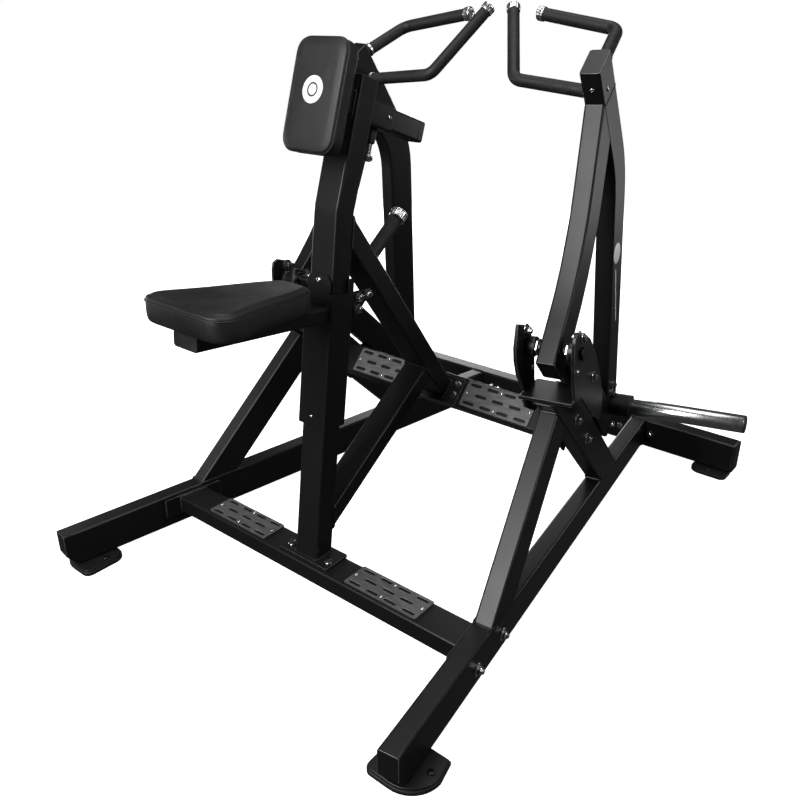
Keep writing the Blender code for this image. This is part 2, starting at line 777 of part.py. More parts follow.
def arm_front_tube(name, mirror):
    """Curved front tube of the arm, drilled for the hub."""
    path = arm_front_path()
    up = rear_top_dir()
    normal = up.cross(OUTWARD)
    towards = normal if normal.dot(ALONG) > 0 else -normal
    face = side(*REAR_TOP) - towards * (REAR_D / 2 + GAP)
    last = (path[-1] - path[-2]).normalized()
    path[-1] = path[-2] + last * ((face - path[-2]).dot(towards) / last.dot(towards))
    up_arm = (path[1] - path[0]).normalized()
    across = up_arm.cross(OUTWARD)
    across = across if across.dot(ALONG) > 0 else -across
    foot_face = -(up_arm + across * ARM_FOOT_TILT).normalized()
    bm = tube(path[::-1], OUTWARD, ARM_W, ARM_D, start=towards, end=foot_face, closed_end=ARM_FOOT_CAP_T)
    body = finish(name, bm, grey_paint(), mirror, pivot_point())
    cutter = finish("hole", turned(side(PIVOT_S, PIVOT_H, -0.05), OUTWARD, [(0.0, HUB_MID_R + GAP), (0.1, HUB_MID_R + GAP)]),
                    grey_paint(), mirror)
    return combine(body, cutter, "DIFFERENCE")


def arm_rear_tube(name, mirror):
    """Rear tube of the arm, closed at the top."""
    corner = side(*REAR_BEND)
    top = side(*REAR_TOP)
    foot = side(*REAR_FOOT)
    face = side(*rear_leg_point(0.0, LEG_REAR_UPPER + LINK_GAP + LINK_D + GAP))
    normal = side_dir(*LEG_REAR_NORMAL)
    down = (foot - corner).normalized()
    foot = corner + down * ((face - corner).dot(normal) / down.dot(normal))
    path = fillet([foot, corner, top], REAR_BEND_R, 5)
    bm = tube(path, OUTWARD, ARM_W, REAR_D, start=normal, closed_end=0.004)
    return finish(name, bm, grey_paint(), mirror, pivot_point())


def arm_link(name, mirror):
    """Lower tube from the front tube back to the rear tube."""
    direction = side_dir(*LEG_REAR_DIR)
    middle = LEG_REAR_UPPER + LINK_GAP + LINK_D / 2
    lean = side_dir(ARM_BEND[0] - ARM_FOOT[0], ARM_BEND[1] - ARM_FOOT[1])
    normal = lean.cross(OUTWARD)
    if normal.dot(ALONG) < 0:
        normal = -normal
    face = side(*ARM_FOOT) + normal * (ARM_D / 2 + GAP)
    start = side(*rear_leg_point(0.3, middle))
    start = start + direction * ((face - start).dot(normal) / direction.dot(normal))
    end = side(*rear_leg_point(LINK_END, middle))
    bm = tube([start, end], OUTWARD, ARM_W, LINK_D, start=normal, closed_end=0.004)
    return finish(name, bm, grey_paint(), mirror, pivot_point())


def arm_hub(name, mirror):
    """Bearing tube through the foot of the front tube."""
    low = EAR_IN + HUB_END
    high = EAR_OUT - HUB_END
    profile = [(low, HUB_R - 0.002), (low + 0.002, HUB_R), (low + HUB_BOSS_L, HUB_R),
               (low + HUB_BOSS_L + 0.001, HUB_MID_R), (high - HUB_BOSS_L - 0.001, HUB_MID_R),
               (high - HUB_BOSS_L, HUB_R), (high - 0.002, HUB_R), (high, HUB_R - 0.002)]
    bm = turned(side(PIVOT_S, PIVOT_H), OUTWARD, profile, AXLE_SEGMENTS,
                (AXLE_R + RUN_CLEARANCE) / math.cos(math.pi / AXLE_SEGMENTS))
    return finish(name, bm, black_paint(), mirror, pivot_point())


def horn_axis():
    """Direction of the weight horn, outward and a little up."""
    return (OUTWARD * math.cos(HORN_LIFT) + UPWARD * math.sin(HORN_LIFT)).normalized()


def weight_collar(name, mirror):
    """Stop collar at the root of the weight horn."""
    start = side(HORN_S, HORN_H, ARM_W / 2 + 0.0012)
    length = COLLAR_END - ARM_W / 2 - 0.0012
    bm = turned(start, horn_axis(), [(0.0, COLLAR_R), (length - 0.004, COLLAR_R), (length, COLLAR_R - 0.004)],
                24, HORN_BORE_R)
    return finish(name, bm, black_rubber(), mirror, pivot_point())


def weight_horn(name, mirror):
    """Bright sleeve that takes the plates."""
    start = side(HORN_S, HORN_H, 0.0) + horn_axis() * (COLLAR_END + GAP)
    length = HORN_END - COLLAR_END - GAP
    bm = turned(start, horn_axis(), [(0.0, HORN_R), (length, HORN_R)], 24, HORN_BORE_R)
    return finish(name, bm, bright_steel(), mirror, pivot_point())


def horn_cap(name, mirror):
    """Plastic plug in the end of the horn."""
    start = side(HORN_S, HORN_H, 0.0) + horn_axis() * (HORN_END + GAP)
    bm = turned(start, horn_axis(), [(0.0, HORN_R), (0.003, HORN_R), (0.0045, HORN_R - 0.003)], 24)
    return finish(name, bm, black_plastic(), mirror, pivot_point())


def handle(name, bar, mirror, root):
    """Bent rubber-covered hand bar."""
    corner = Vector(bar[1])
    tip = Vector(bar[2])
    path = fillet([root, corner, tip], HANDLE_BEND, 5)
    return finish(name, pipe(path, HANDLE_R, HANDLE_SEGMENTS), black_rubber(), mirror, pivot_point())


def handles(tag, mirror):
    """Both hand bars of an arm."""
    up = rear_top_dir()
    normal = up.cross(OUTWARD)
    if normal.dot(ALONG) < 0:
        normal = -normal
    back = side(*REAR_TOP) + normal * (REAR_D / 2 + HANDLE_R * 0.9)
    corner = Vector(UPPER_BAR[1])
    root = side(*UPPER_BAR[0])
    direction = (root - corner).normalized()
    root = corner + direction * ((back - corner).dot(normal) / direction.dot(normal))
    handle("handle_upper_" + tag, UPPER_BAR, mirror, root)
    corner = Vector(LOWER_BAR[1])
    root = side(*LOWER_BAR[0], -LOWER_BAR_IN)
    direction = (root - corner).normalized()
    face = side(0.0, 0.0, -ARM_W / 2 - 0.0035)
    root = corner + direction * ((face - corner).dot(OUTWARD) / direction.dot(OUTWARD))
    handle("handle_lower_" + tag, LOWER_BAR, mirror, root)


# ---- centre frame --------------------------------------------------------
def post_lower_dir():
    """Direction of the lower post."""
    return (mid(POST_BEND) - mid(POST_FOOT)).normalized()


def post_upper_dir():
    """Direction of the upper post."""
    return (mid(POST_TOP) - mid(POST_BEND)).normalized()


def post_back_plane(extra):
    """Point and rearward normal of the lower post's back face."""
    normal = Vector((0.0, post_lower_dir().z, -post_lower_dir().y))
    return mid(POST_FOOT) + normal * (POST_D / 2 + extra), normal


def slider_dir():
    """Direction of the chest slider, towards the seat and up."""
    return Vector((0.0, -1.0, SLIDER_SLOPE)).normalized()


def slider_point(y):
    """Point of the slider's centre line."""
    return Vector((0.0, y, SLIDER_P[1] - SLIDER_SLOPE * (y - SLIDER_P[0])))


def centre_post():
    """Bent main post with a base flange, cut for the slider sleeve."""
    path = fillet([mid(POST_FOOT) + Z_AXIS * GAP, mid(POST_BEND), mid(POST_TOP)], POST_BEND_R, 3)
    bm = tube(path, X_AXIS, POST_W, POST_D, start=Z_AXIS, closed_end=0.003, flange=(0.170, 0.082, 0.006))
    body = finish("centre_post", bm, black_paint())
    axis = slider_dir()
    width = SLEEVE_W + 2 * GAP
    path = [slider_point(SLEEVE_Y0 + 0.05) + axis * 0.12, slider_point(SLEEVE_Y0 + 0.05) - axis * 0.12]
    outline = rounded_rect(width, width, CORNER)
    rings = [ring_on_plane(outline, p, axis, X_AXIS, axis.cross(X_AXIS), p, axis) for p in path]
    cutter = finish("hole", shell(rings), black_paint())
    return combine(body, cutter, "DIFFERENCE")


def main_brace():
    """Long brace from the raised cross tube up to the post."""
    deep = Vector((0.0, math.cos(STEP_TILT), math.sin(STEP_TILT)))
    normal = X_AXIS.cross(deep)
    face = Vector((0.0, STEP_Y, STEP_Z)) + normal * (STEP_T / 2 + GAP)
    direction = (mid(BRACE_TOP) - mid(BRACE_FOOT)).normalized()
    start = mid(BRACE_TOP)
    start = start + direction * ((face - start).dot(normal) / direction.dot(normal))
    plane, rearward = post_back_plane(GAP)
    end = start + direction * ((plane - start).dot(rearward) / direction.dot(rearward))
    bm = tube([start, end], X_AXIS, POST_W, BRACE_D, start=normal, end=rearward, flange=(0.166, 0.082, 0.006))
    return finish("main_brace", bm, black_paint())


def lower_brace():
    """Short brace from the post's foot to the long brace."""
    direction = Vector((0.0, math.cos(STRUT_ANGLE), math.sin(STRUT_ANGLE)))
    middle = mid(STRUT_A)
    plane, rearward = post_back_plane(GAP)
    start = middle + direction * ((plane - middle).dot(rearward) / direction.dot(rearward))
    brace = (mid(BRACE_TOP) - mid(BRACE_FOOT)).normalized()
    normal = Vector((0.0, brace.z, -brace.y))
    face = mid(BRACE_TOP) - normal * (BRACE_D / 2 + GAP)
    end = middle + direction * ((face - middle).dot(normal) / direction.dot(normal))
    bm = tube([start, end], X_AXIS, POST_W, STRUT_D, start=rearward, end=normal)
    return finish("lower_brace", bm, black_paint())


def assist_grip():
    """Rubber grip standing on the long brace."""
    brace = (mid(BRACE_TOP) - mid(BRACE_FOOT)).normalized()
    normal = Vector((0.0, brace.z, -brace.y))
    axis = (mid(GRIP_B) - mid(GRIP_A)).normalized()
    face = mid(BRACE_TOP) + normal * (BRACE_D / 2 + GAP)
    middle = mid(GRIP_B)
    start = middle + axis * ((face - middle).dot(normal) / axis.dot(normal))
    a, b = square_to(axis)
    outline = circle(0.0, 0.0, GRIP_R, 20)
    rings = [ring_on_plane(outline, start, axis, a, b, start, normal),
             ring_on_plane(outline, middle, axis, a, b, middle, axis)]
    return finish("assist_grip", shell(rings), black_rubber())


# ---- chest support -------------------------------------------------------
def slider_sleeve():
    """Square sleeve through the post that guides the slider."""
    start = slider_point(SLEEVE_Y0)
    end = slider_point(SLEEVE_Y1)
    bm = tube([start, end], X_AXIS, SLEEVE_W, SLEEVE_W, SLEEVE_WALL)
    return finish("slider_sleeve", bm, black_paint())


def pad_back():
    """Centre of the chest pad's back face."""
    return slider_point(PAD_Y) - slider_dir() * PAD_T


def chest_slider():
    """Square tube that carries the chest pad."""
    start = pad_back() - slider_dir() * (PAD_PLATE_T + 2 * GAP)
    end = slider_point(SLIDER_Y1)
    bm = tube([start, end], X_AXIS, SLIDER_W, SLIDER_W)
    return finish("chest_slider", bm, black_paint(), origin=start)


def slider_cap():
    """Plastic plug on the rear end of the slider."""
    axis = -slider_dir()
    start = slider_point(SLIDER_Y1) + axis * GAP
    length = (slider_point(SLIDER_CAP_Y1) - start).length
    rings = []
    for along, inset in ((0.0, 0.0), (length - 0.006, 0.0), (length, 0.010)):
        outline = rounded_rect(SLIDER_W - inset, SLIDER_W - inset, CORNER)
        point = start + axis * along
        rings.append([point + X_AXIS * a + axis.cross(X_AXIS) * b for a, b in outline])
    return finish("slider_cap", shell(rings), black_plastic(), origin=start)


def pad_plate():
    """Steel plate between the slider and the chest pad."""
    axis = -slider_dir()
    outline = rounded_rect(0.090, 0.160, 0.010, 3)
    up = axis.cross(X_AXIS)
    up = up if up.z > 0 else -up
    start = pad_back() + axis * GAP - up * PAD_DROP
    bm = prism(outline, lambda a, b, z: start + X_AXIS * a + up * b + axis * z, 0.0, PAD_PLATE_T)
    return finish("pad_plate", bm, black_paint(), origin=start)


def chest_pad():
    """Padded block the chest rests on."""
    axis = slider_dir()
    up = axis.cross(X_AXIS)
    up = up if up.z > 0 else -up
    start = pad_back() - up * PAD_DROP
    outline = rounded_rect(PAD_W, PAD_H, PAD_R, 5)
    levels = ((0.0, 0.005), (0.10, 0.0), (0.62, 0.0), (0.86, 0.004), (1.0, 0.014))
    bm = slab(outline, lambda a, b, z: start + X_AXIS * a + up * b + axis * (z * PAD_T), levels)
    return finish("chest_pad", bm, vinyl(), origin=start)


def pull_pin(name, start, axis, boss_l, knob_paint, mirror=False):
    """Spring pin: drilled boss fixed to the sleeve, plunger with a knob."""
    boss = turned(start + axis * GAP, axis, [(0.0, PIN_BOSS_R), (boss_l - 0.003, PIN_BOSS_R),
                                             (boss_l, PIN_BOSS_R - 0.003)], 20, PIN_BORE_R)
    finish(name + "_housing", boss, black_plastic(), mirror, start)
    knob = boss_l + GAP * 2
    profile = [(2 * GAP, PIN_R), (knob, PIN_R), (knob, 0.009), (knob + 0.026, 0.009), (knob + 0.027, 0.0145),
               (knob + 0.036, 0.0145), (knob + 0.040, 0.010)]
    finish(name + "_plunger", turned(start, axis, profile, 20), knob_paint, mirror, start)


def chest_pin():
    """Pull pin under the slider sleeve."""
    down = slider_dir().cross(X_AXIS)
    if down.z > 0:
        down = -down
    pull_pin("chest_pin", slider_point(PIN_Y) + down * (SLEEVE_W / 2), down, PIN_BOSS_L, bright_steel())


# ---- seat ----------------------------------------------------------------
def post_axis_at(z):
    """Point of the lower post's centre line at a height."""
    direction = post_lower_dir()
    foot = mid(POST_FOOT)
    return foot + direction * ((z - foot.z) / direction.z)


def seat_carriage():
    """Sleeve around the post with a raised front lip and two rear cheeks."""
    direction = post_lower_dir()
    forward = Vector((0.0, -direction.z, direction.y))
    bm = tube([post_axis_at(CARRIAGE_Z0), post_axis_at(CARRIAGE_Z1)], X_AXIS, CARRIAGE_W, CARRIAGE_D, CARRIAGE_WALL)
    body = finish("seat_carriage", bm, black_paint())
    low = post_axis_at(CARRIAGE_Z1 - 0.03)
    rise = (CARRIAGE_LIP - CARRIAGE_Z1 + 0.03) / direction.z
    outline = [(-0.036, 0.0), (0.036, 0.0), (0.036, rise - 0.012), (0.024, rise), (-0.024, rise), (-0.036, rise - 0.012)]
    lip = finish("lip", prism(outline, lambda a, b, z: low + X_AXIS * a + direction * b + forward * z,
                              CARRIAGE_D / 2 - CARRIAGE_WALL + 0.0003, CARRIAGE_D / 2 - 0.0003), black_paint())
    combine(body, lip, "UNION")
    for sign in (-1, 1):
        cheek = [(0.034, -0.052), (0.052, -0.050), (0.062, -0.038), (0.076, -0.025), (0.096, -0.018),
                 (0.102, -0.008), (0.100, 0.006), (0.034, 0.010)]
        at = post_axis_at(CARRIAGE_Z1 - 0.012)
        plate = prism(cheek, lambda a, b, z, x=sign: at + Vector((0.0, a, b)) + X_AXIS * (x * z),
                      CARRIAGE_W / 2 - 0.0037, CARRIAGE_W / 2 - 0.0003)
        combine(body, finish("cheek", plate, black_paint()), "UNION")
    for sign, back, half, top in ((-1, 0.0, PIN_PLATE_HALF, PIN_PLATE_TOP), (1, 0.026, 0.009, TAB_TOP)):
        low = post_axis_at(CARRIAGE_Z1 - 0.03)
        rise = (top - low.z) / direction.z
        tab = [(-half - back, 0.0), (half - back, 0.0), (half - back, rise - 0.005), (half - back - 0.005, rise),
               (-half - back + 0.005, rise), (-half - back, rise - 0.005)]
        plate = prism(tab, lambda a, b, z, x=sign: low + forward * a + direction * b + X_AXIS * (x * z),
                      CARRIAGE_W / 2 - 0.0035, CARRIAGE_W / 2 - 0.0005)
        combine(body, finish("tab", plate, black_paint()), "UNION")
    return body


def seat_tube_dir():
    """Direction of the seat tube, away from the post."""
    return Vector((0.0, -1.0, -SEAT_TUBE_SLOPE)).normalized()


def seat_tube():
    """Tube under the cushion, open where it meets the carriage."""
    direction = post_lower_dir()
    forward = Vector((0.0, -direction.z, direction.y))
    face = post_axis_at(CARRIAGE_Z1) + forward * (CARRIAGE_D / 2 + GAP)
    axis = seat_tube_dir()
    end = mid(SEAT_TUBE_END)
    start = end + axis * ((face - end).dot(forward) / axis.dot(forward))
    bm = tube([start, end], X_AXIS, SEAT_TUBE_W, SEAT_TUBE_D, start=forward)
    finish("seat_tube", bm, black_paint())
    rings = []
    for along, inset in ((GAP, 0.0), (0.004, 0.0), (0.006, 0.004)):
        outline = rounded_rect(SEAT_TUBE_W - inset, SEAT_TUBE_D - inset, CORNER)
        point = end + axis * along
        rings.append([point + X_AXIS * a + axis.cross(X_AXIS) * b for a, b in outline])
    finish("seat_tube_cap", shell(rings), black_plastic())


def seat_outline():
    """Cushion plan: wide at the rider's end, narrow towards the post."""
    half = [(-0.375, 0.030), (-0.380, 0.048), (-0.400, 0.060), (-0.450, 0.075), (-0.510, 0.088),
            (-0.560, 0.098), (-0.610, 0.112), (-0.650, 0.126), (-0.680, 0.130), (-0.702, 0.120), (-0.713, 0.100)]
    return [(x, y) for y, x in half] + [(-x, y) for y, x in reversed(half)]


def seat_cushion():
    """Padded seat on the seat tube."""
    lift = Vector((0.0, -SEAT_TUBE_SLOPE, 1.0)).normalized()
    under = mid(SEAT_TUBE_END) + lift * (SEAT_TUBE_D / 2 + GAP)

    def place(x, y, level):
        low = under.z + (y - under.y) * SEAT_TUBE_SLOPE
        high = SEAT_TOP[1] + (y - SEAT_TOP[0]) * SEAT_TOP_SLOPE
        return Vector((x, y, low + (high - low) * level))

    levels = ((0.0, 0.009), (0.12, 0.002), (0.30, 0.0), (0.75, 0.0), (0.92, 0.004), (1.0, 0.013))
    bm = slab(seat_outline(), place, levels)
    return finish("seat_cushion", bm, vinyl())


def seat_pin():
    """Pull pin on the left side of the carriage."""
    at = post_axis_at(SEAT_PIN_Z) + X_AXIS * (CARRIAGE_W / 2 - GAP)
    pull_pin("seat_pin", at, X_AXIS.copy(), 0.022, dark_steel(), True)


# ---- assembly ------------------------------------------------------------
def clear_scene():
    """Start from nothing."""
    for item in list(bpy.data.objects):
        bpy.data.objects.remove(item, do_unlink=True)


def build_sides():
    """Everything that comes in a right and a left copy."""
    for tag, mirror in (("right", False), ("left", True)):
        side_beam("side_beam_" + tag, mirror)
        foot_front("foot_front_" + tag, mirror)
        foot_rear("foot_rear_" + tag, mirror)
        rear_beam_cap("rear_beam_cap_" + tag, mirror)
        leg_front("leg_front_" + tag, mirror)
        leg_rear("leg_rear_" + tag, mirror)
        pivot_bracket("pivot_bracket_" + tag, mirror)
        pivot_axle("pivot_axle_" + tag, mirror)
        bump_stop("bump_stop_" + tag, mirror)
        arm_front_tube("arm_front_tube_" + tag, mirror)
        arm_rear_tube("arm_rear_tube_" + tag, mirror)
        arm_link("arm_link_" + tag, mirror)
        arm_hub("arm_hub_" + tag, mirror)
        weight_collar("weight_collar_" + tag, mirror)
        weight_horn("weight_horn_" + tag, mirror)
        horn_cap("horn_cap_" + tag, mirror)
        handles(tag, mirror)


def build_centre():
    """Everything on the centre plane."""
    rear_beam()
    front_cross_beam()
    foot_cross_beam()
    tread_plates()
    centre_post()
    main_brace()
    lower_brace()
    assist_grip()
    slider_sleeve()
    chest_slider()
    slider_cap()
    pad_plate()
    chest_pad()
    chest_pin()
    seat_carriage()
    seat_tube()
    seat_cushion()
    seat_pin()


def centre_in_y():
    """Slide the machine so the middle of its length is over the origin."""
    bpy.context.view_layer.update()
    low = min((item.matrix_world @ vert.co).y for item in bpy.data.objects for vert in item.data.vertices)
    high = max((item.matrix_world @ vert.co).y for item in bpy.data.objects for vert in item.data.vertices)
    for item in bpy.data.objects:
        item.location.y -= (low + high) / 2


clear_scene()
build_sides()
build_centre()
centre_in_y()
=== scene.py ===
"""Looks of a plate-loaded seated row machine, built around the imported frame."""
import json
import math

import bmesh
import bpy
import mathutils
from mathutils import Matrix, Vector

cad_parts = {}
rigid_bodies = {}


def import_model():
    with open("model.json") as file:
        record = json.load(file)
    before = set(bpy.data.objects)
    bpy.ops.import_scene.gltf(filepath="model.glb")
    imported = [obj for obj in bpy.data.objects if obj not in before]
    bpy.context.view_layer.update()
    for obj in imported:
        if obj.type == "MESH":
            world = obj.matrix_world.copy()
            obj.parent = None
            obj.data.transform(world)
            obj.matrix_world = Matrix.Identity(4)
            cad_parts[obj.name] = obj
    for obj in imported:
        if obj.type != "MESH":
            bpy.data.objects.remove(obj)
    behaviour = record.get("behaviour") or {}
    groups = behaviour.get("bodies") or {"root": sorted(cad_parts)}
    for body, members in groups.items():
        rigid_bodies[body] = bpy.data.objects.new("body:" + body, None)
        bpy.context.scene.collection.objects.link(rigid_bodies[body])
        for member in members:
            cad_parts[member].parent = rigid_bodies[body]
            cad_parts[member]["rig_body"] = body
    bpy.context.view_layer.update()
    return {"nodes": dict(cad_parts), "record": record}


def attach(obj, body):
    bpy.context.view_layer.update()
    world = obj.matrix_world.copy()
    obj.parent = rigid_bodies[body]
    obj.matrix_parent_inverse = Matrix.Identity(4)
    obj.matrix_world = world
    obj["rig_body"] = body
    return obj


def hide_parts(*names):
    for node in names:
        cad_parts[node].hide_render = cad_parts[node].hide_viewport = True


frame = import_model()
nodes = frame["nodes"]

# ---- camera ----------------------------------------------------------------
CAMERA_PLACE = Vector((1.3086, -1.73362, 1.3923))
CAMERA_AZIMUTH = math.radians(39.094)
CAMERA_PITCH = math.radians(25.158)
CAMERA_LENS = 36.92


def make_camera():
    """Three-quarter front view from above."""
    data = bpy.data.cameras.new("camera")
    data.lens = CAMERA_LENS
    data.sensor_width = 36.0
    data.clip_start = 0.05
    data.clip_end = 50.0
    camera = bpy.data.objects.new("camera", data)
    bpy.context.scene.collection.objects.link(camera)
    camera.location = CAMERA_PLACE
    camera.rotation_euler = (math.pi / 2 - CAMERA_PITCH, 0.0, CAMERA_AZIMUTH)
    bpy.context.scene.camera = camera


make_camera()


# ---- materials -------------------------------------------------------------
def new_material(name):
    """Empty principled material; returns the material, its node tree and shader."""
    made = bpy.data.materials.new(name)
    made.use_nodes = True
    tree = made.node_tree
    return made, tree, tree.nodes["Principled BSDF"]


def noise(tree, scale, detail=4.0, rough=0.5, stretch=None):
    """Object-space noise texture node, optionally stretched along an axis."""
    where = tree.nodes.new("ShaderNodeTexCoord")
    node = tree.nodes.new("ShaderNodeTexNoise")
    node.inputs["Scale"].default_value = scale
    node.inputs["Detail"].default_value = detail
    node.inputs["Roughness"].default_value = rough
    source = where.outputs["Object"]
    if stretch is not None:
        mapping = tree.nodes.new("ShaderNodeMapping")
        mapping.inputs["Scale"].default_value = stretch
        tree.links.new(source, mapping.inputs["Vector"])
        source = mapping.outputs["Vector"]
    tree.links.new(source, node.inputs["Vector"])
    return node


def spread(tree, source, low, high, start=0.35, stop=0.65):
    """Map a 0-1 output onto a range of numbers."""
    node = tree.nodes.new("ShaderNodeMapRange")
    node.inputs["From Min"].default_value = start
    node.inputs["From Max"].default_value = stop
    node.inputs["To Min"].default_value = low
    node.inputs["To Max"].default_value = high
    tree.links.new(source, node.inputs["Value"])
    return node.outputs["Result"]


def tint(tree, source, dark, light, start=0.3, stop=0.7):
    """Colour between two ends, chosen by a 0-1 output."""
    node = tree.nodes.new("ShaderNodeValToRGB")
    node.color_ramp.elements[0].color = (*dark, 1.0)
    node.color_ramp.elements[1].color = (*light, 1.0)
    node.color_ramp.elements[0].position = start
    node.color_ramp.elements[1].position = stop
    tree.links.new(source, node.inputs["Fac"])
    return node.outputs["Color"]


def bump(tree, shader, source, strength, distance):
    """Bump the shader by a height output."""
    node = tree.nodes.new("ShaderNodeBump")
    node.inputs["Strength"].default_value = strength
    node.inputs["Distance"].default_value = distance
    tree.links.new(source, node.inputs["Height"])
    tree.links.new(node.outputs["Normal"], shader.inputs["Normal"])
    return node


def powder_coat(name, dark, light, rough, specular):
    """Satin powder coat with a fine orange-peel texture."""
    made, tree, shader = new_material(name)
    cloud = noise(tree, 7.0, 4.0)
    base = tint(tree, cloud.outputs["Fac"], dark, light)
    tree.links.new(base, shader.inputs["Base Color"])
    tree.links.new(spread(tree, cloud.outputs["Fac"], rough - 0.01, rough + 0.02), shader.inputs["Roughness"])
    peel = noise(tree, 750.0, 2.0, 0.55)
    bump(tree, shader, peel.outputs["Fac"], 0.08, 0.0003)
    shader.inputs["Specular IOR Level"].default_value = specular
    return made


def painted_edge_highlight(name, dark, light):
    """Painted highlight: lighter paint along an edge's bevel, in uneven patches, standing in for light caught
    by the edge.
    """
    made, tree, shader = new_material(name)
    cloud = noise(tree, 38.0, 6.0, 0.7)
    tree.links.new(tint(tree, cloud.outputs["Fac"], dark, light, 0.38, 0.62), shader.inputs["Base Color"])
    tree.links.new(spread(tree, cloud.outputs["Fac"], 0.34, 0.26), shader.inputs["Roughness"])
    shader.inputs["Specular IOR Level"].default_value = 0.50
    return made


def chrome(name, dark, light, low, high, stretch=None):
    """Bright metal with faint wipe marks."""
    made, tree, shader = new_material(name)
    cloud = noise(tree, 60.0, 6.0, 0.6, stretch)
    shader.inputs["Metallic"].default_value = 1.0
    tree.links.new(tint(tree, cloud.outputs["Fac"], dark, light), shader.inputs["Base Color"])
    tree.links.new(spread(tree, cloud.outputs["Fac"], low, high), shader.inputs["Roughness"])
    return made


def plate_steel():
    """Satin tread plate with rolling marks and scuffs."""
    made, tree, shader = new_material("plate_steel")
    cloud = noise(tree, 35.0, 8.0, 0.6, (1.0, 6.0, 6.0))
    shader.inputs["Metallic"].default_value = 0.6
    tree.links.new(tint(tree, cloud.outputs["Fac"], (0.095, 0.097, 0.100), (0.150, 0.152, 0.156)),
                   shader.inputs["Base Color"])
    tree.links.new(spread(tree, cloud.outputs["Fac"], 0.36, 0.52), shader.inputs["Roughness"])
    bump(tree, shader, noise(tree, 900.0, 3.0).outputs["Fac"], 0.12, 0.0003)
    return made


def rubber(name, dark, light, low, high):
    """Matt rubber with a fine pebble."""
    made, tree, shader = new_material(name)
    cloud = noise(tree, 30.0, 5.0)
    tree.links.new(tint(tree, cloud.outputs["Fac"], dark, light), shader.inputs["Base Color"])
    tree.links.new(spread(tree, cloud.outputs["Fac"], low, high), shader.inputs["Roughness"])
    shader.inputs["Specular IOR Level"].default_value = 0.35
    bump(tree, shader, noise(tree, 1300.0, 3.0).outputs["Fac"], 0.22, 0.0005)
    return made


def vinyl(name, dark, light):
    """Upholstery vinyl with a leather grain and a soft sheen."""
    made, tree, shader = new_material(name)
    where = tree.nodes.new("ShaderNodeTexCoord")
    warp = noise(tree, 90.0, 2.0)
    shift = tree.nodes.new("ShaderNodeMixRGB")
    shift.blend_type = "ADD"
    shift.inputs["Fac"].default_value = 0.004
    tree.links.new(where.outputs["Object"], shift.inputs["Color1"])
    tree.links.new(warp.outputs["Color"], shift.inputs["Color2"])
    cells = tree.nodes.new("ShaderNodeTexVoronoi")
    cells.feature = "DISTANCE_TO_EDGE"
    cells.inputs["Scale"].default_value = 460.0
    tree.links.new(shift.outputs["Color"], cells.inputs["Vector"])
    cloud = noise(tree, 11.0, 5.0)
    tree.links.new(tint(tree, cloud.outputs["Fac"], dark, light), shader.inputs["Base Color"])
    tree.links.new(spread(tree, cloud.outputs["Fac"], 0.40, 0.54), shader.inputs["Roughness"])
    shader.inputs["Specular IOR Level"].default_value = 0.37
    creases = spread(tree, cells.outputs["Distance"], 0.0, 1.0, 0.0, 0.12)
    bump(tree, shader, creases, 0.30, 0.0003)
    return made


def painted_badge():
    """White printed disc."""
    made, tree, shader = new_material("badge_white")
    cloud = noise(tree, 80.0, 4.0)
    print_white = tint(tree, cloud.outputs["Fac"], (0.72, 0.72, 0.71), (0.86, 0.86, 0.85))
    tree.links.new(print_white, shader.inputs["Base Color"])
    tree.links.new(spread(tree, cloud.outputs["Fac"], 0.40, 0.50), shader.inputs["Roughness"])
    return made


FRAME_PAINT = powder_coat("frame_paint", (0.0040, 0.0042, 0.0045), (0.0050, 0.0052, 0.0056), 0.36, 0.36)
ARM_PAINT = powder_coat("arm_paint", (0.0050, 0.0052, 0.0055), (0.0060, 0.0063, 0.0066), 0.34, 0.24)
FOOT_PAINT = powder_coat("foot_plate_paint", (0.0040, 0.0042, 0.0044), (0.0054, 0.0056, 0.0058), 0.44, 0.30)
HORN_STEEL = chrome("horn_steel", (0.50, 0.51, 0.52), (0.58, 0.59, 0.60), 0.22, 0.27, (1.0, 1.0, 1.0))
ALUMINIUM = chrome("turned_aluminium", (0.62, 0.63, 0.64), (0.74, 0.75, 0.76), 0.20, 0.32)
PIPING = vinyl("piping_vinyl", (0.010, 0.010, 0.011), (0.016, 0.016, 0.017))
BADGE = painted_badge()
# painted highlight: a lighter colour laid on the bevels of painted tubes
EDGE_HIGHLIGHT_PAINT = painted_edge_highlight("painted_highlight_edges", (0.018, 0.0185, 0.019), (0.110, 0.112, 0.115))
FINISHES = {
    "black_paint": FRAME_PAINT,
    "grey_paint": ARM_PAINT,
    "bright_steel": chrome("chrome", (0.56, 0.57, 0.58), (0.62, 0.63, 0.64), 0.13, 0.17, (1.0, 1.0, 1.0)),
    "dark_steel": chrome("dark_steel", (0.020, 0.020, 0.021), (0.040, 0.040, 0.042), 0.30, 0.45),
    "tread_steel": plate_steel(),
    "black_rubber": rubber("rubber", (0.006, 0.006, 0.0065), (0.012, 0.012, 0.0125), 0.50, 0.66),
    "black_plastic": rubber("plastic", (0.008, 0.008, 0.0085), (0.015, 0.015, 0.0155), 0.38, 0.50),
    "vinyl": vinyl("vinyl", (0.0065, 0.0066, 0.0070), (0.0105, 0.0106, 0.0112)),
}
SLOT_OF = {part["node"]: part["material_slot"] for part in frame["record"]["subparts"]}


# ---- pieces that follow the CAD solids ---------------------------------------
PAINTED_SLOTS = ("black_paint", "grey_paint")
WELD_DISTANCE = 0.00002
EDGE_WIDTH = 0.0012


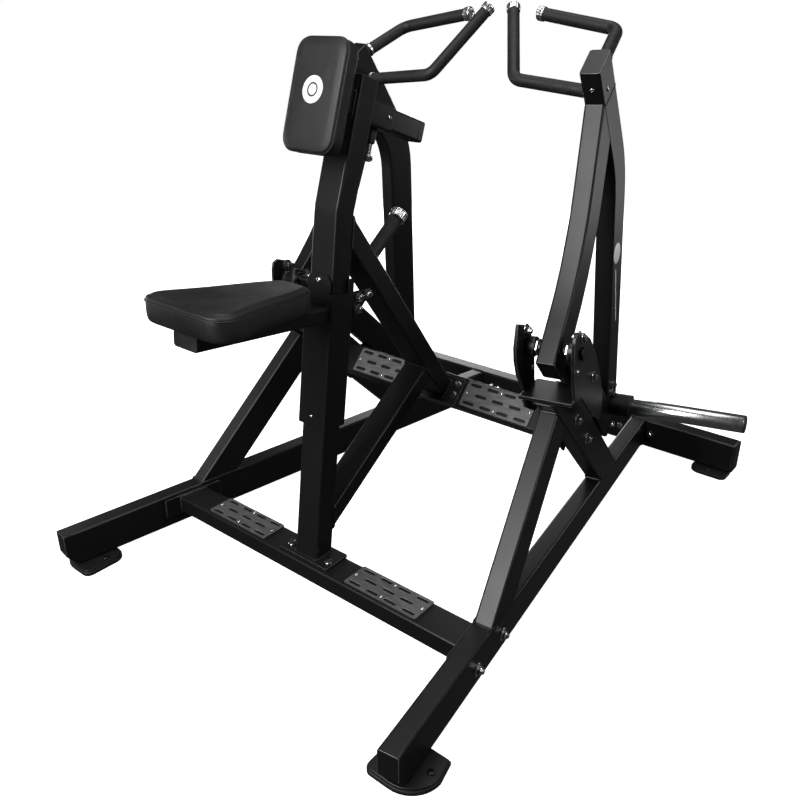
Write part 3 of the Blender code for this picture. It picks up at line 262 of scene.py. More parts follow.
def dress(name):
    """Copy of a CAD node with softened edges, its finish, and a painted highlight on the bevels of painted
    parts.
    """
    source = nodes[name]
    bm = bmesh.new()
    bm.from_mesh(source.data)
    bmesh.ops.remove_doubles(bm, verts=bm.verts, dist=WELD_DISTANCE)
    bmesh.ops.dissolve_limit(bm, angle_limit=math.radians(1.5), verts=bm.verts, edges=bm.edges)
    mesh = bpy.data.meshes.new(name + "_skin")
    bm.to_mesh(mesh)
    bm.free()
    mesh.polygons.foreach_set("use_smooth", [True] * len(mesh.polygons))
    mesh.materials.clear()
    painted = SLOT_OF[name] in PAINTED_SLOTS
    mesh.materials.append(FINISHES[SLOT_OF[name]])
    if painted:
        mesh.materials.append(EDGE_HIGHLIGHT_PAINT)
    piece = bpy.data.objects.new(name + "_skin", mesh)
    bpy.context.scene.collection.objects.link(piece)
    soft = piece.modifiers.new("edges", "BEVEL")
    soft.limit_method = "ANGLE"
    soft.angle_limit = math.radians(50.0)
    soft.width = EDGE_WIDTH
    soft.segments = 2
    # bevel faces of painted parts take the painted edge highlight material
    soft.material = 1 if painted else -1
    level = piece.modifiers.new("normals", "WEIGHTED_NORMAL")
    level.mode = "FACE_AREA"
    level.weight = 100
    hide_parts(name)
    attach(piece, source["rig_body"])
    return piece


# nodes that get a new shape further down instead of this skin
REBUILT = ("handle_", "weight_", "horn_cap_", "foot_front_", "foot_rear_", "seat_cushion", "chest_pad")
for node_name in sorted(nodes):
    if not node_name.startswith(REBUILT):
        dress(node_name)


# ---- places and directions -----------------------------------------------------
SWING = next(joint for joint in frame["record"]["behaviour"]["joints"] if joint["name"] == "arm_right_swing")
PIVOT = Vector(SWING["pos_m"])
OUTWARD = Vector(SWING["axis"]).normalized()
ALONG = Vector((0.0, 0.0, 1.0)).cross(OUTWARD).normalized()
UPWARD = OUTWARD.cross(ALONG)
BEAM_FRONT = PIVOT - ALONG * 0.815 - UPWARD * 0.545
MIDDLE_SHIFT = BEAM_FRONT.y + 0.7619
X_AXIS = Vector((1.0, 0.0, 0.0))
Y_AXIS = Vector((0.0, 1.0, 0.0))
Z_AXIS = Vector((0.0, 0.0, 1.0))
BEAM_SIDE = ALONG.cross(Z_AXIS)
REAR_BEAM_Y = 0.924
STEP_TILT = math.radians(46.0)
STEP_Y = 0.1904
STEP_Z = 0.3844
STEP_DEEP = Vector((0.0, math.cos(STEP_TILT), math.sin(STEP_TILT)))
STEP_UP = X_AXIS.cross(STEP_DEEP)


def side(s, h, t=0.0):
    """Point of the right side frame: s rearward, h up, t outward."""
    return BEAM_FRONT + ALONG * s + UPWARD * h + OUTWARD * t


def mid(y, z, x=0.0):
    """Point near the centre plane."""
    return Vector((x, y + MIDDLE_SHIFT, z))


POST_FOOT = mid(-0.3735, 0.105)
POST_DIR = (mid(-0.2510, 0.9870) - POST_FOOT).normalized()
POST_FORWARD = Vector((0.0, -POST_DIR.z, POST_DIR.y))


def post_at(z):
    """Point of the lower post's centre line."""
    return POST_FOOT + POST_DIR * ((z - POST_FOOT.z) / POST_DIR.z)


def side_dir(s, h):
    """Unit direction in the side plane."""
    return (ALONG * s + UPWARD * h).normalized()


# ---- mesh building -------------------------------------------------------------
def square_to(axis):
    """Two unit vectors square to an axis."""
    helper = Z_AXIS if abs(axis.z) < 0.9 else X_AXIS
    first = axis.cross(helper).normalized()
    return first, axis.cross(first)


def skin(bm, rings, closed=False, caps=True):
    """Faces over equal rings of points."""
    loops = [[bm.verts.new(point) for point in ring] for ring in rings]
    pairs = list(zip(loops, loops[1:]))
    if closed:
        pairs.append((loops[-1], loops[0]))
    for first, second in pairs:
        count = len(first)
        for i in range(count):
            j = (i + 1) % count
            bm.faces.new((first[i], first[j], second[j], second[i]))
    if caps and not closed:
        bm.faces.new(loops[0])
        bm.faces.new(loops[-1])
    return loops


def turn(bm, start, axis, profile, count=32, phase=0.0, closed=False):
    """Body of revolution from (distance, radius) pairs."""
    axis = axis.normalized()
    a, b = square_to(axis)
    rings = []
    for along, radius in profile:
        ring = []
        for i in range(count):
            angle = 2 * math.pi * i / count + phase
            ring.append(start + axis * along + (a * math.cos(angle) + b * math.sin(angle)) * radius)
        rings.append(ring)
    skin(bm, rings, closed)


def smooth_path(points, bend, steps=10):
    """Polyline with arcs at its inner corners."""
    path = [points[0]]
    for before, corner, after in zip(points, points[1:], points[2:]):
        inward = (corner - before).normalized()
        outward = (after - corner).normalized()
        angle = inward.angle(outward)
        start = corner - inward * (bend * math.tan(angle / 2))
        centre = corner + (outward - inward).normalized() * (bend / math.cos(angle / 2))
        axis = inward.cross(outward).normalized()
        for step in range(steps + 1):
            path.append(centre + Matrix.Rotation(angle * step / steps, 3, axis) @ (start - centre))
    path.append(points[-1])
    return path


def sweep(bm, path, radius, count=24, closed=False):
    """Round bar along a path, with a frame carried from point to point."""
    total = len(path)
    steps = []
    for i in range(total):
        if closed:
            steps.append((path[(i + 1) % total] - path[i - 1]).normalized())
        else:
            steps.append((path[min(i + 1, total - 1)] - path[max(i - 1, 0)]).normalized())
    a, b = square_to(steps[0])
    rings = []
    for i, point in enumerate(path):
        if i:
            spin = steps[i - 1].rotation_difference(steps[i])
            a = spin @ a
            b = spin @ b
        turns = [2 * math.pi * k / count for k in range(count)]
        rings.append([point + (a * math.cos(turn_k) + b * math.sin(turn_k)) * radius for turn_k in turns])
    skin(bm, rings, closed)


def rounded_rect(w, d, radius, steps=4):
    """Outline of a rounded rectangle."""
    points = []
    for sx, sy, start in ((1, 1, 0.0), (-1, 1, 90.0), (-1, -1, 180.0), (1, -1, 270.0)):
        for step in range(steps + 1):
            angle = math.radians(start + 90.0 * step / steps)
            points.append((sx * (w / 2 - radius) + radius * math.cos(angle),
                           sy * (d / 2 - radius) + radius * math.sin(angle)))
    return points


def place_piece(name, bm, finish, body, sharp=35.0, replaces=()):
    """Object from a bmesh, with its finish, slot and body."""
    bmesh.ops.recalc_face_normals(bm, faces=list(bm.faces))
    mesh = bpy.data.meshes.new(name)
    bm.to_mesh(mesh)
    bm.free()
    mesh.shade_smooth()
    mesh.set_sharp_from_angle(angle=math.radians(sharp))
    mesh.materials.append(finish)
    piece = bpy.data.objects.new(name, mesh)
    bpy.context.scene.collection.objects.link(piece)
    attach(piece, body)
    if replaces:
        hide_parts(*replaces)
    return piece


def flip(bm):
    """Mirror a bmesh to the left side."""
    for vert in bm.verts:
        vert.co.x = -vert.co.x


def both_sides(name, make, finish, bodies=("frame", "frame"), sharp=35.0, replaces=()):
    """Build a right piece and its left mirror image; replaces are node names without their side."""
    for tag, body in zip(("right", "left"), bodies):
        bm = bmesh.new()
        make(bm)
        if tag == "left":
            flip(bm)
        place_piece(name + "_" + tag, bm, finish, body, sharp, [node + "_" + tag for node in replaces])


ARMS = ("arm_right", "arm_left")


# ---- fasteners -----------------------------------------------------------------
WASHER_T = 0.0022


def washer(bm, place, axis, radius, thick=WASHER_T):
    """Plain washer with eased edges."""
    turn(bm, place, axis, [(0.0, radius), (thick * 0.7, radius), (thick, radius - 0.0007)], 28)


def hex_bolt(bm, place, axis, radius=0.0095, washer_radius=0.0135, height=0.0075, phase=0.3):
    """Hexagon head with a chamfered crown on a washer."""
    washer(bm, place, axis, washer_radius)
    base = place + axis * WASHER_T
    turn(bm, base, axis, [(0.0, radius), (height * 0.82, radius), (height, radius * 0.86)], 6, phase)
    turn(bm, base + axis * height, axis, [(-0.0004, radius * 0.80), (0.0005, radius * 0.76)], 24)


def lock_nut(bm, place, axis, radius=0.0120, washer_radius=0.0168, phase=0.2):
    """Nylon-insert nut with the bolt's end standing out of it."""
    washer(bm, place, axis, washer_radius)
    base = place + axis * WASHER_T
    turn(bm, base, axis, [(0.0, radius), (0.0065, radius), (0.0078, radius * 0.88)], 6, phase)
    insert = [(0.0, radius * 0.84), (0.0022, radius * 0.82), (0.0030, radius * 0.70)]
    thread = [(0.0, radius * 0.52), (0.0040, radius * 0.52), (0.0050, radius * 0.42)]
    turn(bm, base + axis * 0.0070, axis, insert, 24)
    turn(bm, base + axis * 0.0090, axis, thread, 20)


def button_head(bm, place, axis, radius=0.0070):
    """Low round head with a hexagon socket."""
    high = radius * 0.55
    profile = [(0.0, radius), (high * 0.25, radius), (high * 0.70, radius * 0.84), (high, radius * 0.52),
               (high, radius * 0.40), (high * 0.35, radius * 0.38)]
    turn(bm, place, axis, profile, 24)


def ring_nut(bm, place, axis, bore, radius, height):
    """Thin hexagon nut with a bore, eased at both faces."""
    a, b = square_to(axis)
    flat = math.radians(30.0)
    rings = []
    eased = radius * 0.97
    levels = ((0.0, bore, False), (0.0, eased, True), (height * 0.15, radius, True),
              (height * 0.85, radius, True), (height, eased, True), (height, bore, False))
    for along, size, hexagon in levels:
        ring = []
        for i in range(72):
            angle = 2 * math.pi * i / 72
            reach = size * math.cos(flat) / math.cos(angle % (2 * flat) - flat) if hexagon else size
            ring.append(place + axis * along + (a * math.cos(angle) + b * math.sin(angle)) * reach)
        rings.append(ring)
    skin(bm, rings, closed=True)


TUBE_SKIN = 0.0253
SMALL_HEX = (0.0080, 0.0115)
TREAD_SCREWS = ((-0.105, 0.0), (0.105, 0.0), (0.0, 0.0285), (0.0, -0.0285))
TOP_END = side(1.0135, 1.179)
TOP_DIR = (TOP_END - side(1.1947, 0.9107)).normalized()
TOP_REAR = OUTWARD.cross(TOP_DIR)
if TOP_REAR.dot(ALONG) < 0:
    TOP_REAR = -TOP_REAR
BEAM_BOLT_LINE = BEAM_FRONT + BEAM_SIDE * TUBE_SKIN - Z_AXIS * 0.058
INNER_EAR = (-0.0647, -0.0733)
OUTER_EAR = (0.0617, 0.0703)
# each fastener of the right side frame: its maker, its place and the way it faces
RIGHT_FASTENERS = [
    (lock_nut, BEAM_BOLT_LINE + ALONG * 0.345, BEAM_SIDE),
    (lock_nut, BEAM_BOLT_LINE + ALONG * 0.481, BEAM_SIDE),
    (lock_nut, side(0.937, 0.309, TUBE_SKIN), OUTWARD),
    (lock_nut, side(1.030, 0.213, TUBE_SKIN), OUTWARD),
    (lock_nut, side(0.796, 0.590, INNER_EAR[0]), OUTWARD),
    (button_head, side(0.846, 0.520, INNER_EAR[0]), OUTWARD),
    (button_head, side(0.844, 0.476, INNER_EAR[0]), OUTWARD),
    (hex_bolt, side(0.817, 0.583, OUTER_EAR[1]), OUTWARD),
    (lock_nut, side(0.817, 0.583, OUTER_EAR[0]), -OUTWARD),
    (hex_bolt, side(0.912, 0.450, OUTER_EAR[1]), OUTWARD),
    (button_head, side(0.790, 0.505, OUTER_EAR[1]), OUTWARD),
    (hex_bolt, side(0.796, 0.590, INNER_EAR[1]), -OUTWARD),
    (button_head, side(0.846, 0.520, INNER_EAR[1]), -OUTWARD),
    (button_head, side(0.844, 0.476, INNER_EAR[1]), -OUTWARD),
    (button_head, side(0.776, 0.4218, -0.066), -UPWARD),
    (button_head, side(0.882, 0.4218, 0.064), -UPWARD),
]


def frame_bolts(bm):
    """Fasteners of one side frame."""
    for make, place, axis in RIGHT_FASTENERS:
        make(bm, place, axis)
    flat = mid(-0.377, 0.1083, 0.26025)
    raised = mid(STEP_Y, STEP_Z, 0.20525) + STEP_UP * 0.0283
    for centre, deep, up in ((flat, Y_AXIS, Z_AXIS), (raised, STEP_DEEP, STEP_UP)):
        for a, b in TREAD_SCREWS:
            button_head(bm, centre + X_AXIS * a + deep * b, up, 0.0042)
    for x, z in ((0.384, 0.070), (0.273, 0.068), (0.244, 0.064)):
        hex_bolt(bm, mid(REAR_BEAM_Y - 0.0283, z, x), -Y_AXIS, *SMALL_HEX)


def centre_bolts(bm):
    """Fasteners of the post, braces and raised cross tube."""
    for sign in (-1, 1):
        hex_bolt(bm, mid(-0.3855, 0.1118, sign * 0.066), Z_AXIS, *SMALL_HEX)
        flange = mid(STEP_Y, STEP_Z, sign * 0.064) + STEP_UP * 0.0318
        hex_bolt(bm, flange + STEP_DEEP * 0.016, STEP_UP, *SMALL_HEX)
        hex_bolt(bm, flange - STEP_DEEP * 0.018, STEP_UP, *SMALL_HEX)
        button_head(bm, mid(-0.087, 1.176, sign * 0.0303), X_AXIS * sign, 0.0058)


def seat_bolts(bm):
    """Fasteners of the carriage."""
    button_head(bm, post_at(0.830) + POST_FORWARD * 0.0378, POST_FORWARD, 0.0072)
    button_head(bm, post_at(0.494) + POST_FORWARD * 0.0380, POST_FORWARD, 0.0050)
    for sign in (-1, 1):
        for y, z in ((-0.224, 0.781), (-0.193, 0.783), (-0.228, 0.752)):
            lock_nut(bm, mid(y, z, sign * 0.0460), X_AXIS * sign, 0.0085, 0.0122)


def arm_bolts(bm):
    """Fasteners of an arm, its bearing tube and its top block."""
    for way, reach in ((-OUTWARD, 0.0436), (OUTWARD, 0.0406)):
        ring_nut(bm, PIVOT + way * reach, -way, bore=0.0168, radius=0.0212, height=0.0080)
    for s, h in ((1.241, 0.268), (1.250, 0.291)):
        hex_bolt(bm, side(s, h, 0.0252), OUTWARD, 0.0085, 0.0120)
    button_head(bm, side(1.041, 1.118, TUBE_SKIN), OUTWARD, 0.0060)
    button_head(bm, TOP_END - TOP_DIR * 0.045 - TOP_REAR * 0.0437, -TOP_REAR, 0.0058)


def one_piece(name, make, finish, body, sharp=35.0, replaces=()):
    """Single piece on the centre plane."""
    bm = bmesh.new()
    make(bm)
    return place_piece(name, bm, finish, body, sharp, replaces)


BOLT = FINISHES["bright_steel"]
both_sides("side_fasteners", frame_bolts, BOLT)
both_sides("arm_fasteners", arm_bolts, BOLT, ARMS)
one_piece("centre_fasteners", centre_bolts, BOLT, "frame")
one_piece("seat_fasteners", seat_bolts, BOLT, "seat")


# ---- hand bars -------------------------------------------------------------------
HANDLE_R = 0.016
BAR_CAP_R = 0.0182
BAR_CAP_L = 0.0195
BAR_BEND = 0.035
# each bar's centre line: on the arm, at the bend and at the tip
BARS = {
    "upper": (side(1.0841, 1.1856), Vector((0.334, 0.422 + MIDDLE_SHIFT, 1.360)),
              Vector((0.1114, 0.4303 + MIDDLE_SHIFT, 1.395))),
    "lower": (side(1.0724, 1.1131, -0.0507), Vector((0.132, 0.281 + MIDDLE_SHIFT, 1.245)),
              Vector((0.0383, 0.4125 + MIDDLE_SHIFT, 1.4094))),
}


def bar_path(kind):
    """Centre line of a hand bar, from the arm's skin to its tip."""
    root, corner, tip = BARS[kind]
    along = (root - corner).normalized()
    if kind == "upper":
        normal = TOP_REAR
        skin_point = TOP_END + normal * 0.043
    else:
        normal = OUTWARD
        skin_point = side(0.0, 0.0, -0.0248)
    root = corner + along * ((skin_point - corner).dot(normal) / along.dot(normal))
    end = tip - (tip - corner).normalized() * 0.014
    return smooth_path([root, corner, end], BAR_BEND, 12)


def grip(kind):
    """Rubber sleeve of a hand bar with a rolled end at its tip."""
    def make(bm):
        path = bar_path(kind)
        sweep(bm, path, HANDLE_R, 32)
        last = (path[-1] - path[-2]).normalized()
        roll = [(0.0, HANDLE_R), (0.0015, HANDLE_R + 0.0006), (0.0030, HANDLE_R)]
        turn(bm, path[-1] - last * 0.0015, last, roll, 32)
    return make


def fluted(bm, place, axis, radius, length, flutes=16):
    """Turned aluminium end cap with shallow flutes."""
    a, b = square_to(axis)
    count = flutes * 6
    rings = []
    # distance along the cap, share of its radius, depth of the flutes
    levels = ((0.0, 0.90, 0.0), (0.0010, 0.97, 0.0), (0.0025, 1.0, 0.4), (0.0045, 1.0, 1.0),
              (length - 0.0060, 1.0, 1.0), (length - 0.0040, 1.0, 0.4), (length - 0.0022, 0.98, 0.0),
              (length - 0.0008, 0.90, 0.0), (length, 0.80, 0.0), (length - 0.0006, 0.52, 0.0),
              (length - 0.0022, 0.46, 0.0))
    for along, scale, depth in levels:
        ring = []
        for i in range(count):
            angle = 2 * math.pi * i / count
            dip = 0.0011 * depth * (0.5 + 0.5 * math.cos(flutes * angle)) ** 2
            spoke = a * math.cos(angle) + b * math.sin(angle)
            ring.append(place + axis * along + spoke * (radius * scale - dip))
        rings.append(ring)
    skin(bm, rings)


def bar_caps(bm):
    """End caps of both hand bars."""
    for kind in BARS:
        path = bar_path(kind)
        last = (path[-1] - path[-2]).normalized()
        fluted(bm, path[-1] + last * 0.0004, last, BAR_CAP_R, BAR_CAP_L)


def bar_collars(bm):
    """Bright collars where the bars leave the arm."""
    profile = [(0.0, 0.0172), (0.0010, BAR_CAP_R), (0.0070, BAR_CAP_R), (0.0080, 0.0172)]
    for kind in BARS:
        path = bar_path(kind)
        first = (path[1] - path[0]).normalized()
        start = path[0] + first * (0.012 if kind == "upper" else 0.0015)
        turn(bm, start, first, profile, 36)


for bar_kind in BARS:
    both_sides("grip_" + bar_kind, grip(bar_kind), FINISHES["black_rubber"], ARMS, 40.0,
               ("handle_" + bar_kind,))
both_sides("bar_caps", bar_caps, ALUMINIUM, ARMS, 50.0)
both_sides("bar_collars", bar_collars, ALUMINIUM, ARMS)


# ---- weight horns ------------------------------------------------------------------
HORN_AXIS = (OUTWARD * math.cos(math.radians(1.2)) + UPWARD * math.sin(math.radians(1.2))).normalized()
HORN_S = 1.255
HORN_H = 0.229
HORN_ROOT = side(HORN_S, HORN_H)


def horn(bm):
    """Chromed sleeve, closed at both ends."""
    profile = [(0.0, 0.0246), (0.0008, 0.025), (0.3088, 0.025), (0.3094, 0.0246)]
    turn(bm, HORN_ROOT + HORN_AXIS * 0.0843, HORN_AXIS, profile, 72)


def collar(bm):
    """Rubber-faced stop collar with a stepped edge."""
    profile = [(0.0, 0.0325), (0.0010, 0.033), (0.040, 0.033), (0.0410, 0.0322), (0.0424, 0.0322),
               (0.0434, 0.033), (0.0548, 0.033), (0.0573, 0.0306), (0.0576, 0.0264)]
    turn(bm, side(HORN_S, HORN_H, 0.0262), HORN_AXIS, profile, 64)


def horn_plug(bm):
    """Domed plug in the end of the horn."""
    profile = [(-0.0010, 0.0240), (0.0, 0.025), (0.0016, 0.025), (0.0030, 0.0240), (0.0040, 0.0208),
               (0.0044, 0.012)]
    turn(bm, HORN_ROOT + HORN_AXIS * 0.3943, HORN_AXIS, profile, 64)


both_sides("horn_sleeve", horn, HORN_STEEL, ARMS, 35.0, ("weight_horn",))
both_sides("horn_collar", collar, FINISHES["black_rubber"], ARMS, 35.0, ("weight_collar",))
both_sides("horn_plug", horn_plug, FINISHES["black_plastic"], ARMS, 35.0, ("horn_cap",))


# ---- assist grip ---------------------------------------------------------------------
ASSIST_END = mid(-0.0290, 0.9259)
ASSIST_DIR = (ASSIST_END - mid(-0.1135, 0.8625)).normalized()


def assist_cap(bm):
    """Fluted cap on the assist grip."""
    fluted(bm, ASSIST_END + ASSIST_DIR * 0.0004, ASSIST_DIR, 0.0222, 0.0250)


one_piece("assist_cap", assist_cap, ALUMINIUM, "frame", 50.0)


# ---- floor pads ------------------------------------------------------------------------
PAD_CORNER = 0.012
PAD_TIGHT = 0.020
PAD_WIDE = 0.034
PAD_LARGE = 0.075
RUBBER_LEVELS = ((0.0, -0.0015), (0.0015, 0.0), (0.0105, 0.0), (0.0125, -0.0015))
PLATE_LEVELS = ((0.0126, -0.0030), (0.0165, -0.0030), (0.0176, -0.0042))


def pad_plan(low, high, back, front, grow, steps=10):
    """Floor pad in plan, grown or shrunk all round."""
    low, high, back, front = low - grow, high + grow, back + grow, front - grow
    points = [(high - PAD_CORNER, back)]
    tight, wide, large = PAD_TIGHT + grow, PAD_WIDE + grow, PAD_LARGE + grow
    corners = ((low + wide, back - wide, 90.0, wide), (low + tight, front + tight, 180.0, tight),
               (high - large, front + large, 270.0, large))
    for a, b, start, bend in corners:
        for step in range(steps + 1):
            angle = math.radians(start + 90.0 * step / steps)
            points.append((a + bend * math.cos(angle), b + bend * math.sin(angle)))
    return points


# each pad's plan as low side, high side, back and front, and how the plan lies on the floor
FOOT_PLANS = {
    "front": ((0.500, 0.643, -0.622, -0.748), lambda a, b, z: mid(b, z, a)),
    "rear": ((-0.065, 0.065, -0.545, -0.665), lambda a, b, z: mid(REAR_BEAM_Y + a, z, -b)),
}


def foot(kind, levels):
    """Stack of foot outlines; levels are (height, growth)."""
    plan, place = FOOT_PLANS[kind]

    def make(bm):
        rings = [[place(a, b, z) for a, b in pad_plan(*plan, grow)] for z, grow in levels]
        skin(bm, rings)
    return make


def pad_screws(bm):
    """Black socket screws holding the front and rear floor pads."""
    top = PLATE_LEVELS[-1][0]
    rear_places = [(0.605, REAR_BEAM_Y + shift) for shift in (0.049, -0.049)]
    for x, y in [(0.619, -0.674), (0.521, -0.674)] + rear_places:
        button_head(bm, mid(y, top, x), Z_AXIS, 0.0085)


for foot_kind in FOOT_PLANS:
    both_sides("foot_rubber_" + foot_kind, foot(foot_kind, RUBBER_LEVELS), FINISHES["black_rubber"],
               ("frame", "frame"), 35.0, ("foot_" + foot_kind,))
    both_sides("foot_plate_" + foot_kind, foot(foot_kind, PLATE_LEVELS), FOOT_PAINT)
both_sides("pad_screws", pad_screws, FINISHES["dark_steel"])


# ---- soft parts ---------------------------------------------------------------------------
def ripple(point, scale):
    """Repeatable soft noise."""
    return mathutils.noise.noise(point * scale)


def even_loop(points, count, passes):
    """Closed loop resampled evenly, then relaxed a little."""
    total = len(points)
    corners = [Vector(point) for point in points]
    lengths = [0.0]
    for i in range(total):
        lengths.append(lengths[-1] + (corners[(i + 1) % total] - corners[i]).length)
    loop = []
    at = 0
    for k in range(count):
        goal = lengths[-1] * k / count
        while lengths[at + 1] < goal:
            at += 1
        share = (goal - lengths[at]) / (lengths[at + 1] - lengths[at])
        loop.append(corners[at].lerp(corners[(at + 1) % total], share))
    for _ in range(passes):
        loop = [(loop[i - 1] + loop[i] * 2 + loop[(i + 1) % count]) / 4 for i in range(count)]
    return loop


def inset_loop(loop, distance):
    """Loop moved inward by a distance along its own normals."""
    total = len(loop)
    result = []
    for i, point in enumerate(loop):
        step = (loop[(i + 1) % total] - loop[i - 1]).normalized()
        result.append(point + Vector((-step.y, step.x)) * distance)
    return result


SEAM_GAP = 0.0022
SEAM_LIP = 0.0006
RIM_CROWN = 0.62


def upholster(bm, loop, place, bottom, seam, top, crown, edge, run):
    """Padded body: board side, side band, seam groove and a crowned top panel.

    Heights run from bottom past seam to top; edge is the rim's rounding and run its rise into the crown.
    """
    rings = []
    band = ((bottom, 0.010), (bottom + 0.0012, 0.0045), (bottom + 0.005, 0.0010),
            (bottom * 0.6 + seam * 0.4, -0.0004), (bottom * 0.3 + seam * 0.7, 0.0),
            (seam - 0.0020, 0.0008), (seam - 0.0006, 0.0022), (seam + 0.0006, 0.0022),
            (seam + SEAM_GAP, SEAM_LIP))
    for z, inset in band:
        rings.append([place(p.x, p.y, z) for p in inset_loop(loop, inset)])
    for part in (0.12, 0.30, 0.52, 0.76, 1.0):
        angle = part * math.pi / 2
        height = seam + SEAM_GAP + (top - seam - SEAM_GAP) * math.sin(angle)
        rounded = inset_loop(loop, SEAM_LIP + edge * (1 - math.cos(angle)))
        rings.append([place(p.x, p.y, height) for p in rounded])
    first = SEAM_LIP + edge
    centre = sum(loop, Vector((0.0, 0.0))) / len(loop)
    inner = inset_loop(loop, first + run)
    for share in (0.25, 0.5, 0.75, 1.0):
        lift = crown * RIM_CROWN * (1 - (1 - share) ** 2)
        rings.append([place(p.x, p.y, top + lift) for p in inset_loop(loop, first + run * share)])
    for keep in (0.86, 0.72, 0.57, 0.42, 0.27, 0.13, 0.03):
        lift = crown * (RIM_CROWN + (1 - RIM_CROWN) * (1 - keep ** 2))
        ring = []
        for p in inner:
            q = centre + (p - centre) * keep
            spot = place(q.x, q.y, top + lift)
            ring.append(place(q.x, q.y, top + lift + 0.0007 * (1 - keep) * ripple(spot, 14.0)))
        rings.append(ring)
    skin(bm, rings)


def piping(bm, loop, place, height, radius=0.0019):
    """Corded seam around the panel."""
    sweep(bm, [place(p.x, p.y, height) for p in inset_loop(loop, 0.0004)], radius, 12, True)


def soften(piece, levels=1):
    """Subdivide a soft piece."""
    subdivided = piece.modifiers.new("smooth", "SUBSURF")
    subdivided.levels = levels
    subdivided.render_levels = levels


# half of the seat's outline: place along the machine, half width
SEAT_HALF = [(-0.375, 0.030), (-0.380, 0.048), (-0.400, 0.060), (-0.450, 0.075), (-0.510, 0.088),
             (-0.560, 0.098), (-0.610, 0.112), (-0.650, 0.126), (-0.680, 0.130), (-0.702, 0.120),
             (-0.713, 0.100)]
SEAT_OUTLINE = [(x, y) for y, x in SEAT_HALF] + [(-x, y) for y, x in reversed(SEAT_HALF)]
SEAT_LOOP = even_loop(SEAT_OUTLINE, 132, 8)
SEAT_SLOPE = 0.105
SEAT_TOP_SLOPE = 0.102
SEAT_TOP_Y = -0.711
SEAT_TOP_Z = 0.877
SEAT_THICK = 0.058
SEAT_SEAM = 0.0465
SEAT_UNDER = mid(-0.692, 0.798) + Vector((0.0, SEAT_SLOPE, 1.0)).normalized() * 0.0188


def seat_place(x, y, z):
    """Seat coordinates to world: z is the height over the seat tube, scaled to the cushion's taper."""
    low = SEAT_UNDER.z - (y + MIDDLE_SHIFT - SEAT_UNDER.y) * SEAT_SLOPE
    high = SEAT_TOP_Z - (y - SEAT_TOP_Y) * SEAT_TOP_SLOPE
    return Vector((x, y + MIDDLE_SHIFT, low + z * (high - low) / SEAT_THICK))


def signed_area(loop):
    """Twice the area, positive when counter-clockwise."""
    return sum(a.x * b.y - b.x * a.y for a, b in zip(loop, loop[1:] + loop[:1]))


def make_seat():
    """Cushion cover and its piping."""
    loop = SEAT_LOOP if signed_area(SEAT_LOOP) > 0 else SEAT_LOOP[::-1]

    def cushion(bm):
        upholster(bm, loop, seat_place, bottom=0.0, seam=SEAT_SEAM, top=0.0560, crown=0.0075, edge=0.010,
                  run=0.010)

    def cord(bm):
        piping(bm, loop, seat_place, SEAT_SEAM)

    cover = one_piece("seat_cover", cushion, FINISHES["vinyl"], "seat", 180.0, ("seat_cushion",))
    soften(cover)
    one_piece("seat_piping", cord, PIPING, "seat", 180.0)


SLIDER_SLOPE = 0.334
SLIDER_DIR = Vector((0.0, -1.0, SLIDER_SLOPE)).normalized()
SLIDER_UP = (-SLIDER_DIR).cross(X_AXIS)
if SLIDER_UP.z < 0:
    SLIDER_UP = -SLIDER_UP


def slider_point(y):
    """Point of the slider's centre line."""
    return mid(y, 1.186 - SLIDER_SLOPE * (y + 0.120))


PAD_SEAM = 0.034
PAD_W = 0.150
PAD_H = 0.240
PAD_ROUND = 0.031
PAD_BACK = slider_point(-0.304) - SLIDER_DIR * 0.045 - SLIDER_UP * 0.007


def pad_place(x, y, z):
    """Chest pad coordinates to world: z towards the rider."""
    return PAD_BACK + X_AXIS * x + SLIDER_UP * y + SLIDER_DIR * z


def make_chest_pad():
    """Chest pad cover, piping and a plain round badge."""
    loop = even_loop(rounded_rect(PAD_W, PAD_H, PAD_ROUND, 10), 140, 3)
    loop = loop if signed_area(loop) > 0 else loop[::-1]
    spot = pad_place(0.0, 0.009, 0.0457)

    def cushion(bm):
        upholster(bm, loop, pad_place, bottom=0.0, seam=PAD_SEAM, top=0.0425, crown=0.0032, edge=0.009,
                  run=0.016)

    def cord(bm):
        piping(bm, loop, pad_place, PAD_SEAM, 0.0017)

    def disc(bm):
        turn(bm, spot, SLIDER_DIR, [(-0.002, 0.029), (0.0005, 0.029), (0.0008, 0.0285)], 64)

    def ring(bm):
        profile = [(0.0003, 0.0150), (0.0011, 0.0150), (0.0011, 0.0115), (0.0003, 0.0115)]
        turn(bm, spot, SLIDER_DIR, profile, 64, 0.0, True)

    cover = one_piece("chest_pad_cover", cushion, FINISHES["vinyl"], "chest_support", 180.0,
                      ("chest_pad",))
    soften(cover)
    one_piece("chest_pad_piping", cord, PIPING, "chest_support", 180.0)
    one_piece("chest_pad_badge", disc, BADGE, "chest_support")
    one_piece("chest_pad_badge_mark", ring, FINISHES["black_plastic"], "chest_support")


make_seat()
make_chest_pad()


# ---- weld beads -------------------------------------------------------------------------------
TUBE_CORNER = 0.0065
BEAD_SPACING = 0.004


def weld(bm, centre, axis, across, w, d, plane_point, plane_normal, radius=0.0032):
    """Bead where a rectangular tube meets a plane."""
    deep = axis.cross(across)
    path = []
    corners = rounded_rect(w + 0.001, d + 0.001, TUBE_CORNER, 4)
    for (a, b), (c, e) in zip(corners, corners[1:] + corners[:1]):
        gap = math.hypot(c - a, e - b)
        pieces = max(1, int(gap / BEAD_SPACING))
        for k in range(pieces):
            start = centre + across * (a + (c - a) * k / pieces) + deep * (b + (e - b) * k / pieces)
            shift = (plane_point - start).dot(plane_normal) / axis.dot(plane_normal)
            point = start + axis * shift
            path.append(point + plane_normal * (0.0003 * ripple(point, 260.0)))
    sweep(bm, path, radius, 8, True)


